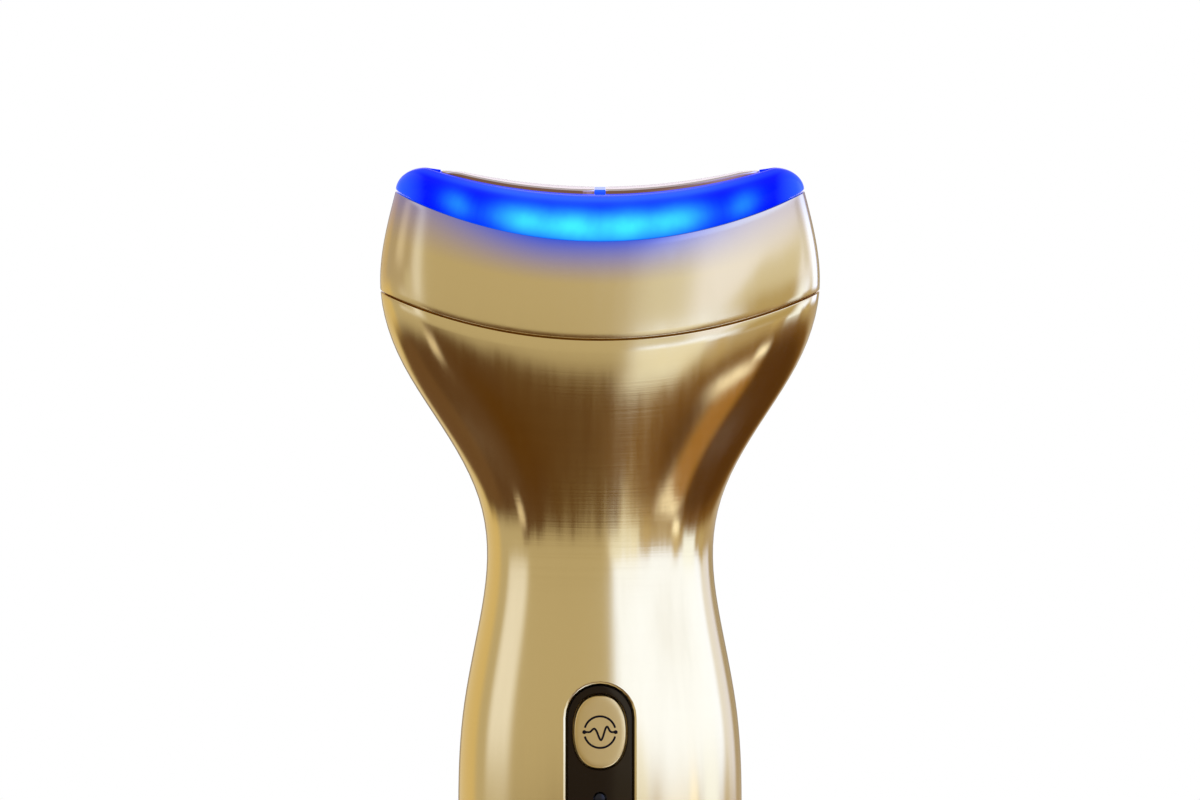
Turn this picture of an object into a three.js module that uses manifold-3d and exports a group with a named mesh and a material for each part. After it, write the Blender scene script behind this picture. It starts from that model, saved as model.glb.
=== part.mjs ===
// A hand-held microcurrent facial device: a flared metal body, a light-giving cap that carries two contact
// plates, two push buttons in a long control strip, and a charging port in the base.
// Millimetres. The handle stands along +Z on its base, and the buttons face -Y.
import * as THREE from "three";
import { mergeVertices } from "three/addons/utils/BufferGeometryUtils.js";
import Module from "manifold-3d";

const wasm = await Module();
wasm.setup();

// Body form: heights stack up from the base, widths and depths are full sizes.
const gripHeight = 80;
const neckRise = 37;
const headRise = 35.5;
const rimRise = 12.5;
const capRise = 3;
const baseWidth = 28.6;
const gripWidth = 37.4;
const neckWidth = 29.8;
const headWidth = 58;
const rimDrawIn = 2.1;
const gripDepth = 31.6;
const baseDrawBack = 4;
const neckDrawBack = 2.9;
const headDrawBack = 1.5;
const rimDrawBack = 2;
const sectionPower = 2.2;

// How far each curved line across the head dips from its ends to its middle.
const seamSag = 5.6;
const rimSag = 5.9;
const ridgeSag = 3.3;
const seamDrop = 0.7;

// Between two main heights the form passes these shares of the rise and of the change in size.
const handleShares = [[0.33, 0.5], [0.67, 0.86]];
const waistShares = [[0.44, 0.17], [0.73, 0.675]];
const flareShares = [[0.22, 0.09], [0.44, 0.37], [0.7, 0.78]];
const crownShares = [[0.5, 0.28]];

// Walls and gaps.
const wall = 1.8;
const fitGap = 0.3;
const partingGap = 0.3;
const seamGap = 0.35;
const runGap = 0.2;
const overrun = 2;

// Fineness of the curved surfaces.
const ringSteps = 32;
const handlePitch = 9;
const headPitch = 5;
const arcSteps = 4;
const roundSides = 12;
const edgeSteps = 3;
const domeSteps = 4;

// Base cap, its foot, its seal and its two screws.
const baseCapHeight = 9;
const baseEdgeRadius = 1.6;
const baseFloor = 3;
const footProud = 0.3;
const footThickness = 1;
const footMargin = 2.8;
const footBand = 4.2;
const sealThickness = 1.2;
const sealBelow = 1.65;
const sealAbove = 0.75;
const postGap = 0.4;

// Light cap.
const ridgeDrawIn = 3.9;
const ridgeDepth = 10;
const capRoof = 1.6;
const capLipThickness = 1.4;
const capLipDrop = 2.2;
const hollowRidgeInset = 3;

// Gasket under the cap's lip, and the collar's ledge under the gasket.
const gasketThickness = 0.8;
const gasketBand = 1.2;
const ledgeThickness = 1.2;

// Contact plates in the cap's top, and the leaves that feed them.
const plateEndMargin = 2.1;
const plateSideMargin = 1.2;
const plateSplit = 1.5;
const dividerDepth = 6;
const dividerDrop = 0.1;
const plateProud = 0.6;
const plateSunk = 0.5;
const plateBevel = 0.3;
const plateTip = 0.5;
const plateSteps = 10;
const plateInnerShare = 0.86;
const plateTaperPower = 2.6;
const studShare = 0.66;
const studRadius = 1.2;
const leafHeight = 4.2;
const leafLength = 1.5;
const leafWidth = 2.4;
const leafThickness = 0.2;

// Light board, lamps and reflector in the head.
const frameWall = 1.6;
const frameBelowSeam = 6.3;
const frameTopDrop = 1.5;
const shelfDrop = 0.5;
const shelfThickness = 1.6;
const lightBoardThickness = 1.6;
const reflectorThickness = 1.6;
const lampShares = [0.25, 0.71];
const lampWidth = 2.4;
const lampDepth = 2;
const lampHeight = 0.9;
const reflectorHoleRadius = 1.8;
const reflectorMouthRadius = 2.1;
const headBossFloor = 0.9;
const legWidth = 3.6;
const legDepth = 4;
const legSpineGap = 3.3;

// Control strip with its two buttons, its signal lamps and their light guide.
const stripWidth = 8.5;
const stripTopAboveGrip = 20.8;
const stripRecess = 0.25;
const stripFlange = 1.4;
const stripFlangeThickness = 1.2;
const stripSeatInset = 3.4;
const buttonWidth = 6.8;
const buttonLength = 9.5;
const buttonMargin = 1.3;
const buttonProud = 0.15;
const buttonFlange = 0.8;
const buttonFlangeThickness = 0.8;
const buttonTravel = 0.4;
const switchWidth = 6;
const switchHeight = 3.2;
const plungerRadius = 1.5;
const plungerDepth = 0.8;
const signalPitch = 4;
const signalRadius = 0.7;
const signalLampWidth = 1.6;
const signalLampHeight = 0.8;
const guideWidth = 2.8;
const guideThickness = 1.5;
const guideEnd = 1.6;
const guideButtonGap = 1.6;

// Chassis and boards in the handle.
const spineThickness = 1;
const spineAboveNeck = 1;
const chassisNeckGap = 2.5;
const chassisBaseGap = 1.3;
const flangeThickness = 1.6;
const flangeReach = 8.3;
const flangeLift = 1.1;
const bossRadius = 2.2;
const boardThickness = 1.6;
const boardSideMargin = 0.6;
const boardAboveFlange = 6.3;
const boardAboveStrip = 4.2;
const boardScrewMargin = 2.5;
const boardScrewDrop = 3;
const boardScrewPitch = 21;
const chipWidth = 7;
const chipThickness = 1.2;
const chipShare = 0.5;
const coilRadius = 4;
const coilWaistRadius = 3.3;
const coilLength = 4.5;
const coilRim = 0.8;
const coilShare = 0.775;
const capacitorRadius = 2.5;
const capacitorLength = 3.8;
const capacitorSideShare = 0.5;
const capacitorShare = 0.275;
const connectorSideGap = 1.5;
const connectorDepth = 2.4;
const connectorTall = 4;
const connectorDrop = 1.5;
const ribbonSideMargin = 0.5;
const ribbonThickness = 0.3;
const ribbonBendGap = 1;
const ribbonBendRise = 12.4;
const ribbonOffset = 2;
const chargeRibbonWidth = 6;

// Battery with its two tabs.
const cellRearGap = 0.8;
const cellAboveBoardEnd = 4;
const cellBelowBoss = 6.8;
const cellGap = 0.2;
const tabThickness = 0.25;
const tabWidth = 4;
const tabReach = 2;
const tabRise = 2.5;
const stopThickness = 1.5;
const stopWidth = 13;
const stopShortfall = 1.9;

// Charging socket on its small board.
const socketWidth = 8.94;
const socketDepth = 3.26;
const socketWall = 0.3;
const socketRecess = 0.6;
const socketBoardDrop = 0.4;
const socketBack = 1;
const tongueWidth = 6.7;
const tongueThickness = 0.7;
const tongueRecess = 0.7;
const socketSideGap = 0.33;
const socketBoardMargin = 5.3;
const socketBoardThickness = 1.2;
const ribThickness = 1.4;
const ribDepth = 8;

// Screws.
const screwRadius = 0.8;
const screwHeadRadius = 1.5;
const screwHeadHeight = 1.2;
const threadRelief = 0.3;
const screwBite = 3;

// Places that follow from the sizes above.
const neckHeight = gripHeight + neckRise;
const headHeight = neckHeight + headRise;
const rimHeight = headHeight + rimRise;
const topHeight = rimHeight + capRise;
const seamHeight = headHeight - seamDrop;
const baseDepth = gripDepth - 2 * baseDrawBack;
const neckDepth = gripDepth - 2 * neckDrawBack;
const headDepth = gripDepth - 2 * headDrawBack;
const rimWidth = headWidth - 2 * rimDrawIn;
const rimDepth = headDepth - 2 * rimDrawBack;
const ridgeWidth = rimWidth - 2 * ridgeDrawIn;
const hollowRidgeWidth = ridgeWidth - 2 * hollowRidgeInset;
const hollowRidgeDepth = ridgeDepth - 2 * capLipThickness;
const plateReach = ridgeWidth / 2 - plateEndMargin;
const plateLength = plateReach - plateSplit / 2;
const plateDepth = ridgeDepth - 2 * plateSideMargin;
const studOffset = plateSplit / 2 + plateLength * studShare;
const footWidth = baseWidth - 2 * footMargin;
const footDepth = baseDepth - 2 * footMargin;
const guideHalf = signalPitch + guideEnd;
const buttonOffset = guideHalf + guideButtonGap + buttonFlange + buttonLength / 2;
const stripLength = 2 * (buttonOffset + buttonLength / 2 + buttonMargin);
const stripTop = gripHeight + stripTopAboveGrip;
const stripMiddle = stripTop - stripLength / 2;
const stripBottom = stripTop - stripLength - stripFlange;
const stripSeat = stripSeatInset - gripDepth / 2;
const stripBack = stripSeat + stripFlangeThickness;
const buttonFlangeFront = stripBack + fitGap;
const buttonFlangeBack = buttonFlangeFront + buttonFlangeThickness;
const switchFront = buttonFlangeBack + buttonTravel + fitGap;
const boardFront = switchFront + switchHeight;
const boardBack = boardFront + boardThickness;
const spineFront = boardBack + fitGap;
const spineBack = spineFront + spineThickness;
const spineTop = neckHeight + spineAboveNeck;
const spineWidth = neckWidth - 2 * (wall + chassisNeckGap);
const legOffset = spineWidth / 2 - legWidth;
const legFront = spineBack + legSpineGap;
const legMiddle = legFront + legDepth / 2;
const shelfTop = seamHeight + shelfDrop - runGap;
const headSag = Math.max(seamSag, rimSag);
const frameTop = shelfTop + headSag - frameTopDrop;
const lightBoardTop = shelfTop + lightBoardThickness;
const reflectorTop = lightBoardTop + reflectorThickness;
const frameInset = wall + fitGap;
const headInset = frameInset + frameWall + fitGap;
const lipInset = wall + fitGap;
const hollowInset = lipInset + capLipThickness;
const lipBottom = rimHeight - capLipDrop;
const socketBottom = footProud + socketRecess;
const socketBoardBottom = baseCapHeight - socketBoardDrop;
const socketBoardWidth = socketWidth + 2 * (socketSideGap + ribThickness);
const socketBoardDepth = baseDepth - 2 * socketBoardMargin;
const flangeBottom = baseCapHeight + flangeLift;
const flangeWidth = baseWidth - 2 * (wall + chassisBaseGap);
const recessTop = footThickness;
const threadHole = screwRadius + threadRelief;
const boardWidth = spineWidth - 2 * boardSideMargin;
const boardBottom = flangeBottom + flangeThickness + boardAboveFlange;
const boardTop = stripTop + boardAboveStrip;
const boardScrewOffset = boardWidth / 2 - boardScrewMargin;
const upperScrewHeight = boardTop - boardScrewDrop;
const boardScrewHeights = [upperScrewHeight - boardScrewPitch, upperScrewHeight];
const connectorTop = boardTop - connectorDrop;
const connectorWidth = 2 * (boardScrewOffset - screwHeadRadius - connectorSideGap);
const ribbonWidth = connectorWidth - 2 * ribbonSideMargin;
const cellBottom = boardBottom + cellAboveBoardEnd;
const cellTop = boardScrewHeights[0] - bossRadius - cellBelowBoss;
const boardHeightAt = (share) => THREE.MathUtils.lerp(boardBottom, stripBottom, share);

// The share of the dip that has built up at a height between the neck and the seam.
const sagAt = (height) =>
  height <= seamHeight
    ? seamSag * THREE.MathUtils.smoothstep(height, neckHeight, seamHeight)
    : THREE.MathUtils.mapLinear(height, seamHeight, rimHeight, seamSag, rimSag);

// A smooth curve through stations of height and size, straight at its two ends.
function naturalSpline(stations) {
  const count = stations.length;
  const height = stations.map((station) => station[0]);
  const size = stations.map((station) => station[1]);
  const bend = new Array(count).fill(0);
  const factor = new Array(count).fill(0);
  for (let i = 1; i < count - 1; i++) {
    const below = height[i] - height[i - 1];
    const above = height[i + 1] - height[i];
    const pivot = 2 * (below + above) - below * factor[i - 1];
    const turn = (size[i + 1] - size[i]) / above - (size[i] - size[i - 1]) / below;
    factor[i] = above / pivot;
    bend[i] = (6 * turn - below * bend[i - 1]) / pivot;
  }
  for (let i = count - 2; i > 0; i--) bend[i] -= factor[i] * bend[i + 1];
  return (at) => {
    let i = 0;
    while (i < count - 2 && at > height[i + 1]) i++;
    const step = height[i + 1] - height[i];
    const low = (height[i + 1] - at) / step;
    const high = (at - height[i]) / step;
    const curve = (low ** 3 - low) * bend[i] + (high ** 3 - high) * bend[i + 1];
    return low * size[i] + high * size[i + 1] + (curve * step * step) / 6;
  };
}

// The stations of one size from the base to the rim.
function stationsOf(base, grip, neck, head, rim) {
  const main = [[0, base], [gripHeight, grip], [neckHeight, neck], [headHeight, head], [rimHeight, rim]];
  const between = [handleShares, waistShares, flareShares, crownShares];
  const stations = [main[0]];
  between.forEach((shares, i) => {
    const [lowHeight, lowSize] = main[i];
    const [highHeight, highSize] = main[i + 1];
    shares.forEach(([rise, change]) =>
      stations.push([
        THREE.MathUtils.lerp(lowHeight, highHeight, rise),
        THREE.MathUtils.lerp(lowSize, highSize, change),
      ]),
    );
    stations.push(main[i + 1]);
  });
  return stations;
}

const widthAt = naturalSpline(stationsOf(baseWidth, gripWidth, neckWidth, headWidth, rimWidth));
const depthAt = naturalSpline(stationsOf(baseDepth, gripDepth, neckDepth, headDepth, rimDepth));

// Places that follow from the body's width or depth at a height.
const cellRoom = depthAt(cellBottom) / 2 - wall - cellRearGap - spineBack - cellGap;
const cellRadius = cellRoom / 2;
const headBossBottom = shelfTop - shelfThickness - screwBite - headBossFloor;
const headScrewOffset = widthAt(headBossBottom) / 2 - frameInset - frameWall - bossRadius - runGap;
const lampOffsets = [...lampShares.map((share) => share * studOffset), (studOffset + headScrewOffset) / 2];
const sealInset = wall + fitGap;
const sealHalf = widthAt(baseCapHeight - sealBelow) / 2 - sealInset - sealThickness;
const postRadius = (sealHalf - socketBoardWidth / 2) / 2 - postGap;
const baseScrewOffset = sealHalf - postGap - postRadius;

// A closed three.js geometry as a solid that can be joined and cut.
function solid(geometry) {
  const bare = geometry.clone();
  bare.deleteAttribute("normal");
  bare.deleteAttribute("uv");
  const merged = mergeVertices(bare);
  return new wasm.Manifold(
    new wasm.Mesh({
      numProp: 3,
      vertProperties: merged.attributes.position.array,
      triVerts: new Uint32Array(merged.index.array),
    }),
  );
}

const join = (...solids) => solids.reduce((all, next) => all.add(next));
const cut = (body, ...tools) => tools.reduce((left, tool) => left.subtract(tool), body);

// A solid skinned over rings of equal counts, each turning left as seen from the last one.
function loft(rings) {
  const count = rings[0].length;
  const index = [];
  const quad = (a, b, c, d) => {
    if (a !== b && b !== c && c !== a) index.push(a, b, c);
    if (a !== c && c !== d && d !== a) index.push(a, c, d);
  };
  const last = (rings.length - 1) * count;
  for (let row = 0; row < last; row += count)
    for (let i = 0; i < count; i++) {
      const next = (i + 1) % count;
      quad(row + i, row + next, row + count + next, row + count + i);
    }
  for (let i = 0; i < count / 2; i++) {
    const across = count - i - 1;
    const back = (count - i) % count;
    quad(last + i, last + i + 1, last + across, last + back);
    quad(back, across, i + 1, i);
  }
  const geometry = new THREE.BufferGeometry();
  geometry.setAttribute("position", new THREE.Float32BufferAttribute(rings.flat(2), 3));
  geometry.setIndex(index);
  return solid(geometry);
}

// A superellipse ring that lies on a saddle: its ends are at the height, its middle dips by the sag.
function saddleRing(halfWidth, halfDepth, height, sag, span) {
  return Array.from({ length: ringSteps }, (_, i) => {
    const angle = (2 * Math.PI * i) / ringSteps;
    const along = Math.cos(angle);
    const across = Math.sin(angle);
    const x = halfWidth * Math.sign(along) * Math.abs(along) ** (2 / sectionPower);
    const y = halfDepth * Math.sign(across) * Math.abs(across) ** (2 / sectionPower);
    return [x, y, height - sag * (1 - (x / span) ** 2)];
  });
}

function bodyRing(height, inset) {
  const halfWidth = widthAt(height) / 2;
  const halfDepth = depthAt(height) / 2;
  return saddleRing(halfWidth - inset, halfDepth - inset, height, sagAt(height), halfWidth);
}

// Evenly spaced heights, no further apart than the pitch.
function evenLevels(from, to, pitch) {
  const steps = Math.max(1, Math.ceil((to - from) / pitch));
  return Array.from({ length: steps + 1 }, (_, i) => THREE.MathUtils.lerp(from, to, i / steps));
}

// Heights for the body's rings, closer together above the neck, where the form bends more.
function levels(from, to) {
  if (to <= neckHeight) return evenLevels(from, to, handlePitch);
  if (from >= neckHeight) return evenLevels(from, to, headPitch);
  const below = evenLevels(from, neckHeight, handlePitch);
  return [...below.slice(0, -1), ...evenLevels(neckHeight, to, headPitch)];
}

const bodyLoft = (from, to, inset) =>
  loft(levels(from, to).map((height) => bodyRing(height, inset)));

// A box between two opposite corners.
function block(low, high) {
  const size = high.map((value, i) => value - low[i]);
  const geometry = new THREE.BoxGeometry(...size);
  geometry.translate(...high.map((value, i) => (value + low[i]) / 2));
  return solid(geometry);
}

const slice = (bottom, top) =>
  block([-headWidth, -headDepth, bottom], [headWidth, headDepth, top]);

// A flat plate that follows the inside of the head at an inset.
function headPlate(bottom, top, inset) {
  const fullHeight = bodyLoft(bottom - overrun, top + headSag, inset);
  return fullHeight.intersect(slice(bottom, top));
}

// A round bar between two heights.
function post(radius, bottom, top, x, y, topRadius = radius) {
  const geometry = new THREE.CylinderGeometry(topRadius, radius, top - bottom, roundSides);
  geometry.rotateX(Math.PI / 2);
  geometry.translate(x, y, (top + bottom) / 2);
  return solid(geometry);
}

// A round bar from front to back.
function bar(radius, front, back, x, z) {
  const geometry = new THREE.CylinderGeometry(radius, radius, back - front, roundSides);
  geometry.translate(x, (front + back) / 2, z);
  return solid(geometry);
}

// A rounded slot shape, longer in its second direction or in its first.
function slotShape(width, length) {
  const radius = Math.min(width, length) / 2;
  const halfWidth = width / 2 - radius;
  const halfLength = length / 2 - radius;
  const shape = new THREE.Shape();
  const quarter = Math.PI / 2;
  const corners = [[1, 1], [-1, 1], [-1, -1], [1, -1]];
  corners.forEach(([right, up], i) =>
    shape.absarc(right * halfWidth, up * halfLength, radius, quarter * i, quarter * (i + 1)),
  );
  return shape;
}

// A shape in X and Z that runs from front to back.
function frontPrism(shape, front, back, middle) {
  const geometry = new THREE.ExtrudeGeometry(shape, {
    depth: back - front,
    bevelEnabled: false,
    curveSegments: arcSteps,
  });
  geometry.rotateX(Math.PI / 2);
  geometry.translate(0, back, middle);
  return solid(geometry);
}

// A shape in X and Y that runs from a bottom to a top.
function upPrism(shape, bottom, top) {
  const geometry = new THREE.ExtrudeGeometry(shape, {
    depth: top - bottom,
    bevelEnabled: false,
    curveSegments: arcSteps,
  });
  geometry.translate(0, 0, bottom);
  return solid(geometry);
}

// A sheet of even thickness whose side view, in Y and Z, is a polygon.
function sidePrism(points, width) {
  const shape = new THREE.Shape(points.map(([y, z]) => new THREE.Vector2(y, z)));
  const geometry = new THREE.ExtrudeGeometry(shape, { depth: width, bevelEnabled: false });
  geometry.rotateX(Math.PI / 2);
  geometry.rotateZ(Math.PI / 2);
  geometry.translate(-width / 2, 0, 0);
  return solid(geometry);
}

// A turned piece on the Z axis, from a profile of radius and height that runs upwards.
function turned(profile) {
  const points = profile.map(([radius, height]) => new THREE.Vector2(radius, height));
  const geometry = new THREE.LatheGeometry(points, roundSides);
  geometry.rotateX(Math.PI / 2);
  return solid(geometry);
}

// Colours and finishes.
const gold = { color: 0xb39a62, metalness: 1, roughness: 0.32 };
const blueLight = { color: 0x1440ff, metalness: 0, roughness: 0.25, emissive: 0x0a2cff };
const brightMetal = { color: 0xe4dfdc, metalness: 1, roughness: 0.12 };
const steel = { color: 0xa9abad, metalness: 1, roughness: 0.35 };
const copper = { color: 0xc08a52, metalness: 1, roughness: 0.4 };
const blackGloss = { color: 0x16130f, metalness: 0, roughness: 0.12 };
const blackPlastic = { color: 0x232325, metalness: 0, roughness: 0.55 };
const whitePlastic = { color: 0xe9e9e6, metalness: 0, roughness: 0.5 };
const clearPlastic = { color: 0xf2f4f6, metalness: 0, roughness: 0.15 };
const greyRubber = { color: 0x3a3a3c, metalness: 0, roughness: 0.85 };
const boardGreen = { color: 0x1f4d33, metalness: 0, roughness: 0.5 };
const cellWrap = { color: 0x2f6f9f, metalness: 0, roughness: 0.4 };
const lampWhite = { color: 0xf4f1d8, metalness: 0, roughness: 0.3 };

const device = new THREE.Group();
const casing = new THREE.Group();
const lightHead = new THREE.Group();
const controls = new THREE.Group();
const handleInside = new THREE.Group();
device.add(casing, lightHead, controls, handleInside);

// Gives a solid its name, its finish and its place in a group.
function addPiece(group, name, made, finish, place = [0, 0, 0]) {
  const data = made.getMesh();
  const geometry = new THREE.BufferGeometry();
  geometry.setAttribute("position", new THREE.BufferAttribute(data.vertProperties, 3));
  geometry.setIndex(new THREE.BufferAttribute(data.triVerts, 1));
  geometry.computeVertexNormals();
  const mesh = new THREE.Mesh(geometry, new THREE.MeshStandardMaterial(finish));
  mesh.name = name;
  mesh.position.set(...place);
  group.add(mesh);
  return mesh;
}

const sides = [["left", -1], ["right", 1]];
const buttons = [["mode", 1], ["power", -1]];

// Body shells
const shellBottom = baseCapHeight + seamGap / 2;
const shellTop = seamHeight - seamGap / 2;
const bodySkin = bodyLoft(shellBottom, shellTop, 0);
const bodyHollow = bodyLoft(shellBottom - overrun, shellTop + overrun, wall);
const shellTube = bodySkin.subtract(bodyHollow);
const frontHalf = block(
  [-headWidth, -headDepth, 0],
  [headWidth, -partingGap / 2, topHeight],
);
const rearHalf = block(
  [-headWidth, partingGap / 2, 0],
  [headWidth, headDepth, topHeight],
);

// The strip's seat is a flat pad inside the front shell, round the window that the strip shows through,
// and the wall behind the seat leaves room for the strip's flange.
function makeFrontShell() {
  const padShape = slotShape(
    stripWidth + 2 * (stripFlange + fitGap),
    stripLength + 2 * (stripFlange + fitGap),
  );
  const pad = frontPrism(padShape, -gripDepth, stripSeat, stripMiddle).intersect(bodySkin);
  const windowShape = slotShape(stripWidth + 2 * fitGap, stripLength + 2 * fitGap);
  const windowHole = frontPrism(windowShape, -gripDepth, 0, stripMiddle);
  const flangeRoom = frontPrism(padShape, stripSeat, 0, stripMiddle);
  return cut(shellTube.intersect(frontHalf).add(pad), windowHole, flangeRoom);
}

// Four bosses reach from the rear shell to the chassis and take the board's screws.
function makeRearShell() {
  let shell = shellTube.intersect(rearHalf);
  for (const height of boardScrewHeights)
    for (const [, side] of sides) {
      const x = side * boardScrewOffset;
      const boss = bar(bossRadius, spineBack, gripDepth, x, height).intersect(bodySkin);
      const hole = bar(threadHole, spineBack - overrun, spineBack + 2 * screwBite, x, height);
      shell = shell.add(boss).subtract(hole);
    }
  return shell;
}

addPiece(casing, "front_shell", makeFrontShell(), gold);
addPiece(casing, "rear_shell", makeRearShell(), gold);

// Head collar with the ledge that carries the gasket
const gasketTop = lipBottom - fitGap;
const ledgeTop = gasketTop - gasketThickness - fitGap;
const ledgeBottom = ledgeTop - ledgeThickness;
function makeCollar() {
  const bottom = seamHeight + seamGap / 2;
  const top = rimHeight - seamGap / 2;
  const ledgeInset = lipInset + gasketBand;
  const hollow = [
    ...levels(bottom - overrun, ledgeBottom).map((height) => [height, wall]),
    [ledgeBottom, ledgeInset],
    [ledgeTop, ledgeInset],
    [ledgeTop, wall],
    [rimHeight + overrun, wall],
  ];
  return bodyLoft(bottom, top, 0).subtract(loft(hollow.map(([height, inset]) => bodyRing(height, inset))));
}
addPiece(casing, "head_collar", makeCollar(), gold);

// Base cap: a cup with screw posts, ribs under the socket's board, the socket's slot and the foot's recess
function makeBaseCap() {
  const quarterTurn = Math.PI / 2;
  const edge = Array.from({ length: edgeSteps }, (_, i) => {
    const angle = (quarterTurn * i) / edgeSteps;
    const height = footProud + baseEdgeRadius * (1 - Math.cos(angle));
    return bodyRing(height, baseEdgeRadius * (1 - Math.sin(angle)));
  });
  const top = baseCapHeight - seamGap / 2;
  const upper = levels(footProud + baseEdgeRadius, top);
  const skin = loft([...edge, ...upper.map((height) => bodyRing(height, 0))]);
  let cap = skin.subtract(bodyLoft(footProud + baseFloor, top + overrun, wall));
  for (const [, side] of sides) {
    const x = side * baseScrewOffset;
    const inner = side * (socketBoardWidth / 2 - ribThickness);
    const outer = (side * socketBoardWidth) / 2;
    const rib = block(
      [Math.min(inner, outer), -ribDepth / 2, footProud + baseFloor / 2],
      [Math.max(inner, outer), ribDepth / 2, socketBoardBottom],
    );
    cap = join(cap, post(postRadius, footProud + baseFloor / 2, flangeBottom, x, 0), rib);
    cap = cut(
      cap,
      post(screwRadius + fitGap, 0, flangeBottom + overrun, x, 0),
      post(screwHeadRadius + fitGap, 0, recessTop + fitGap + screwHeadHeight, x, 0),
    );
  }
  const slot = slotShape(socketWidth + 2 * fitGap, socketDepth + 2 * fitGap);
  return cut(cap, upPrism(slot, 0, baseFloor + overrun), makeFoot(fitGap, 0, recessTop));
}

// The foot is an oval band, and its recess is the same band with a gap round it.
function makeFoot(gap, bottom, top) {
  const width = footWidth + 2 * gap;
  const depth = footDepth + 2 * gap;
  const band = footBand + 2 * gap;
  const ringAt = (height, inset) =>
    saddleRing(width / 2 - inset, depth / 2 - inset, height, 0, width);
  const outer = loft([ringAt(bottom, 0), ringAt(top, 0)]);
  return outer.subtract(loft([ringAt(bottom - overrun, band), ringAt(top + overrun, band)]));
}

const makeTube = (bottom, top, inset, thickness) =>
  bodyLoft(bottom, top, inset).subtract(
    bodyLoft(bottom - overrun, top + overrun, inset + thickness),
  );
addPiece(casing, "base_cap", makeBaseCap(), gold);
addPiece(casing, "foot_pad", makeFoot(0, 0, recessTop), greyRubber);
const baseSeal = makeTube(baseCapHeight - sealBelow, baseCapHeight + sealAbove, sealInset, sealThickness);
addPiece(casing, "base_seal", baseSeal, greyRubber);

// Light cap: a dome over the saddle rim, hollow below, with a lip that plugs into the collar and a low
// divider between the two plates
function domeRing(rise, half, halfRidge, roof) {
  const angle = (Math.PI / 2) * rise;
  const inwards = 1 - Math.cos(angle);
  const upwards = Math.sin(angle);
  const halfWidth = THREE.MathUtils.lerp(half[0], halfRidge[0], inwards);
  const halfDepth = THREE.MathUtils.lerp(half[1], halfRidge[1], inwards);
  const height = rimHeight + (capRise - roof) * upwards;
  const sag = THREE.MathUtils.lerp(rimSag, ridgeSag, upwards);
  return saddleRing(halfWidth, halfDepth, height, sag, halfWidth + (rimWidth / 2 - half[0]));
}
const domeShares = Array.from({ length: domeSteps }, (_, i) => (i + 1) / domeSteps);
const domeRings = (half, halfRidge, roof) =>
  domeShares.map((rise) => domeRing(rise, half, halfRidge, roof));

// The height of the cap's top along its hollow ridge.
const ridgeHeight = (x) => topHeight - ridgeSag * (1 - (2 * x / ridgeWidth) ** 2);

// A contact plate from the split towards one end, grown by a gap where it stands for its pocket.
function makePlate(side, gap, top) {
  const start = plateSplit / 2 - gap;
  const length = plateLength + 2 * gap;
  const stations = Array.from({ length: plateSteps + 1 }, (_, i) => {
    const share = i / plateSteps;
    const x = start + length * Math.sin((Math.PI / 2) * share);
    const taper = Math.sqrt(Math.max(0, 1 - Math.min(1, x / plateReach) ** plateTaperPower));
    const inner = i === 0 ? plateInnerShare : 1;
    const half = plateTip / 2 + ((plateDepth - plateTip) / 2) * taper * inner + gap;
    const bottomZ = ridgeHeight(x) - plateSunk - gap;
    const topZ = ridgeHeight(x) + top;
    return [x, half, bottomZ, topZ];
  });
  const rings = stations.map(([x, half, low, high]) => [
    [side * x, -half, low],
    [side * x, half, low],
    [side * x, half, high - plateBevel],
    [side * x, half - plateBevel, high],
    [side * x, plateBevel - half, high],
    [side * x, -half, high - plateBevel],
  ]);
  return loft(side > 0 ? rings : rings.reverse());
}

const leafTop = lightBoardTop + leafHeight;
function makeLightCap() {
  const rim = [rimWidth / 2, rimDepth / 2];
  const ridge = [ridgeWidth / 2, ridgeDepth / 2];
  const bottomHeight = rimHeight + seamGap / 2;
  const skin = loft([
    saddleRing(rim[0], rim[1], bottomHeight, rimSag, rim[0]),
    ...domeRings(rim, ridge, 0),
  ]);
  const lip = loft([
    bodyRing(lipBottom, lipInset),
    saddleRing(rim[0] - lipInset, rim[1] - lipInset, bottomHeight + seamGap, rimSag, rim[0]),
  ]);
  const hollowRim = [rim[0] - hollowInset, rim[1] - hollowInset];
  const hollow = loft([
    bodyRing(lipBottom - overrun, hollowInset),
    saddleRing(hollowRim[0], hollowRim[1], rimHeight, rimSag, rim[0]),
    ...domeRings(hollowRim, [hollowRidgeWidth / 2, hollowRidgeDepth / 2], capRoof),
  ]);
  const dividerHalf = plateSplit / 2 - fitGap;
  const divider = block(
    [-dividerHalf, -dividerDepth / 2, ridgeHeight(0) - plateSunk],
    [dividerHalf, dividerDepth / 2, ridgeHeight(0) + plateProud - dividerDrop],
  );
  let cap = skin.add(lip).subtract(hollow);
  for (const [, side] of sides)
    cap = cut(
      cap,
      makePlate(side, fitGap, overrun),
      post(studRadius + fitGap, leafTop - overrun, topHeight, side * studOffset, 0),
    );
  return cap.add(divider);
}
addPiece(lightHead, "light_cap", makeLightCap(), blueLight);

const gasket = makeTube(gasketTop - gasketThickness, gasketTop, lipInset, gasketBand);
addPiece(lightHead, "cap_gasket", gasket, greyRubber);

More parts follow.
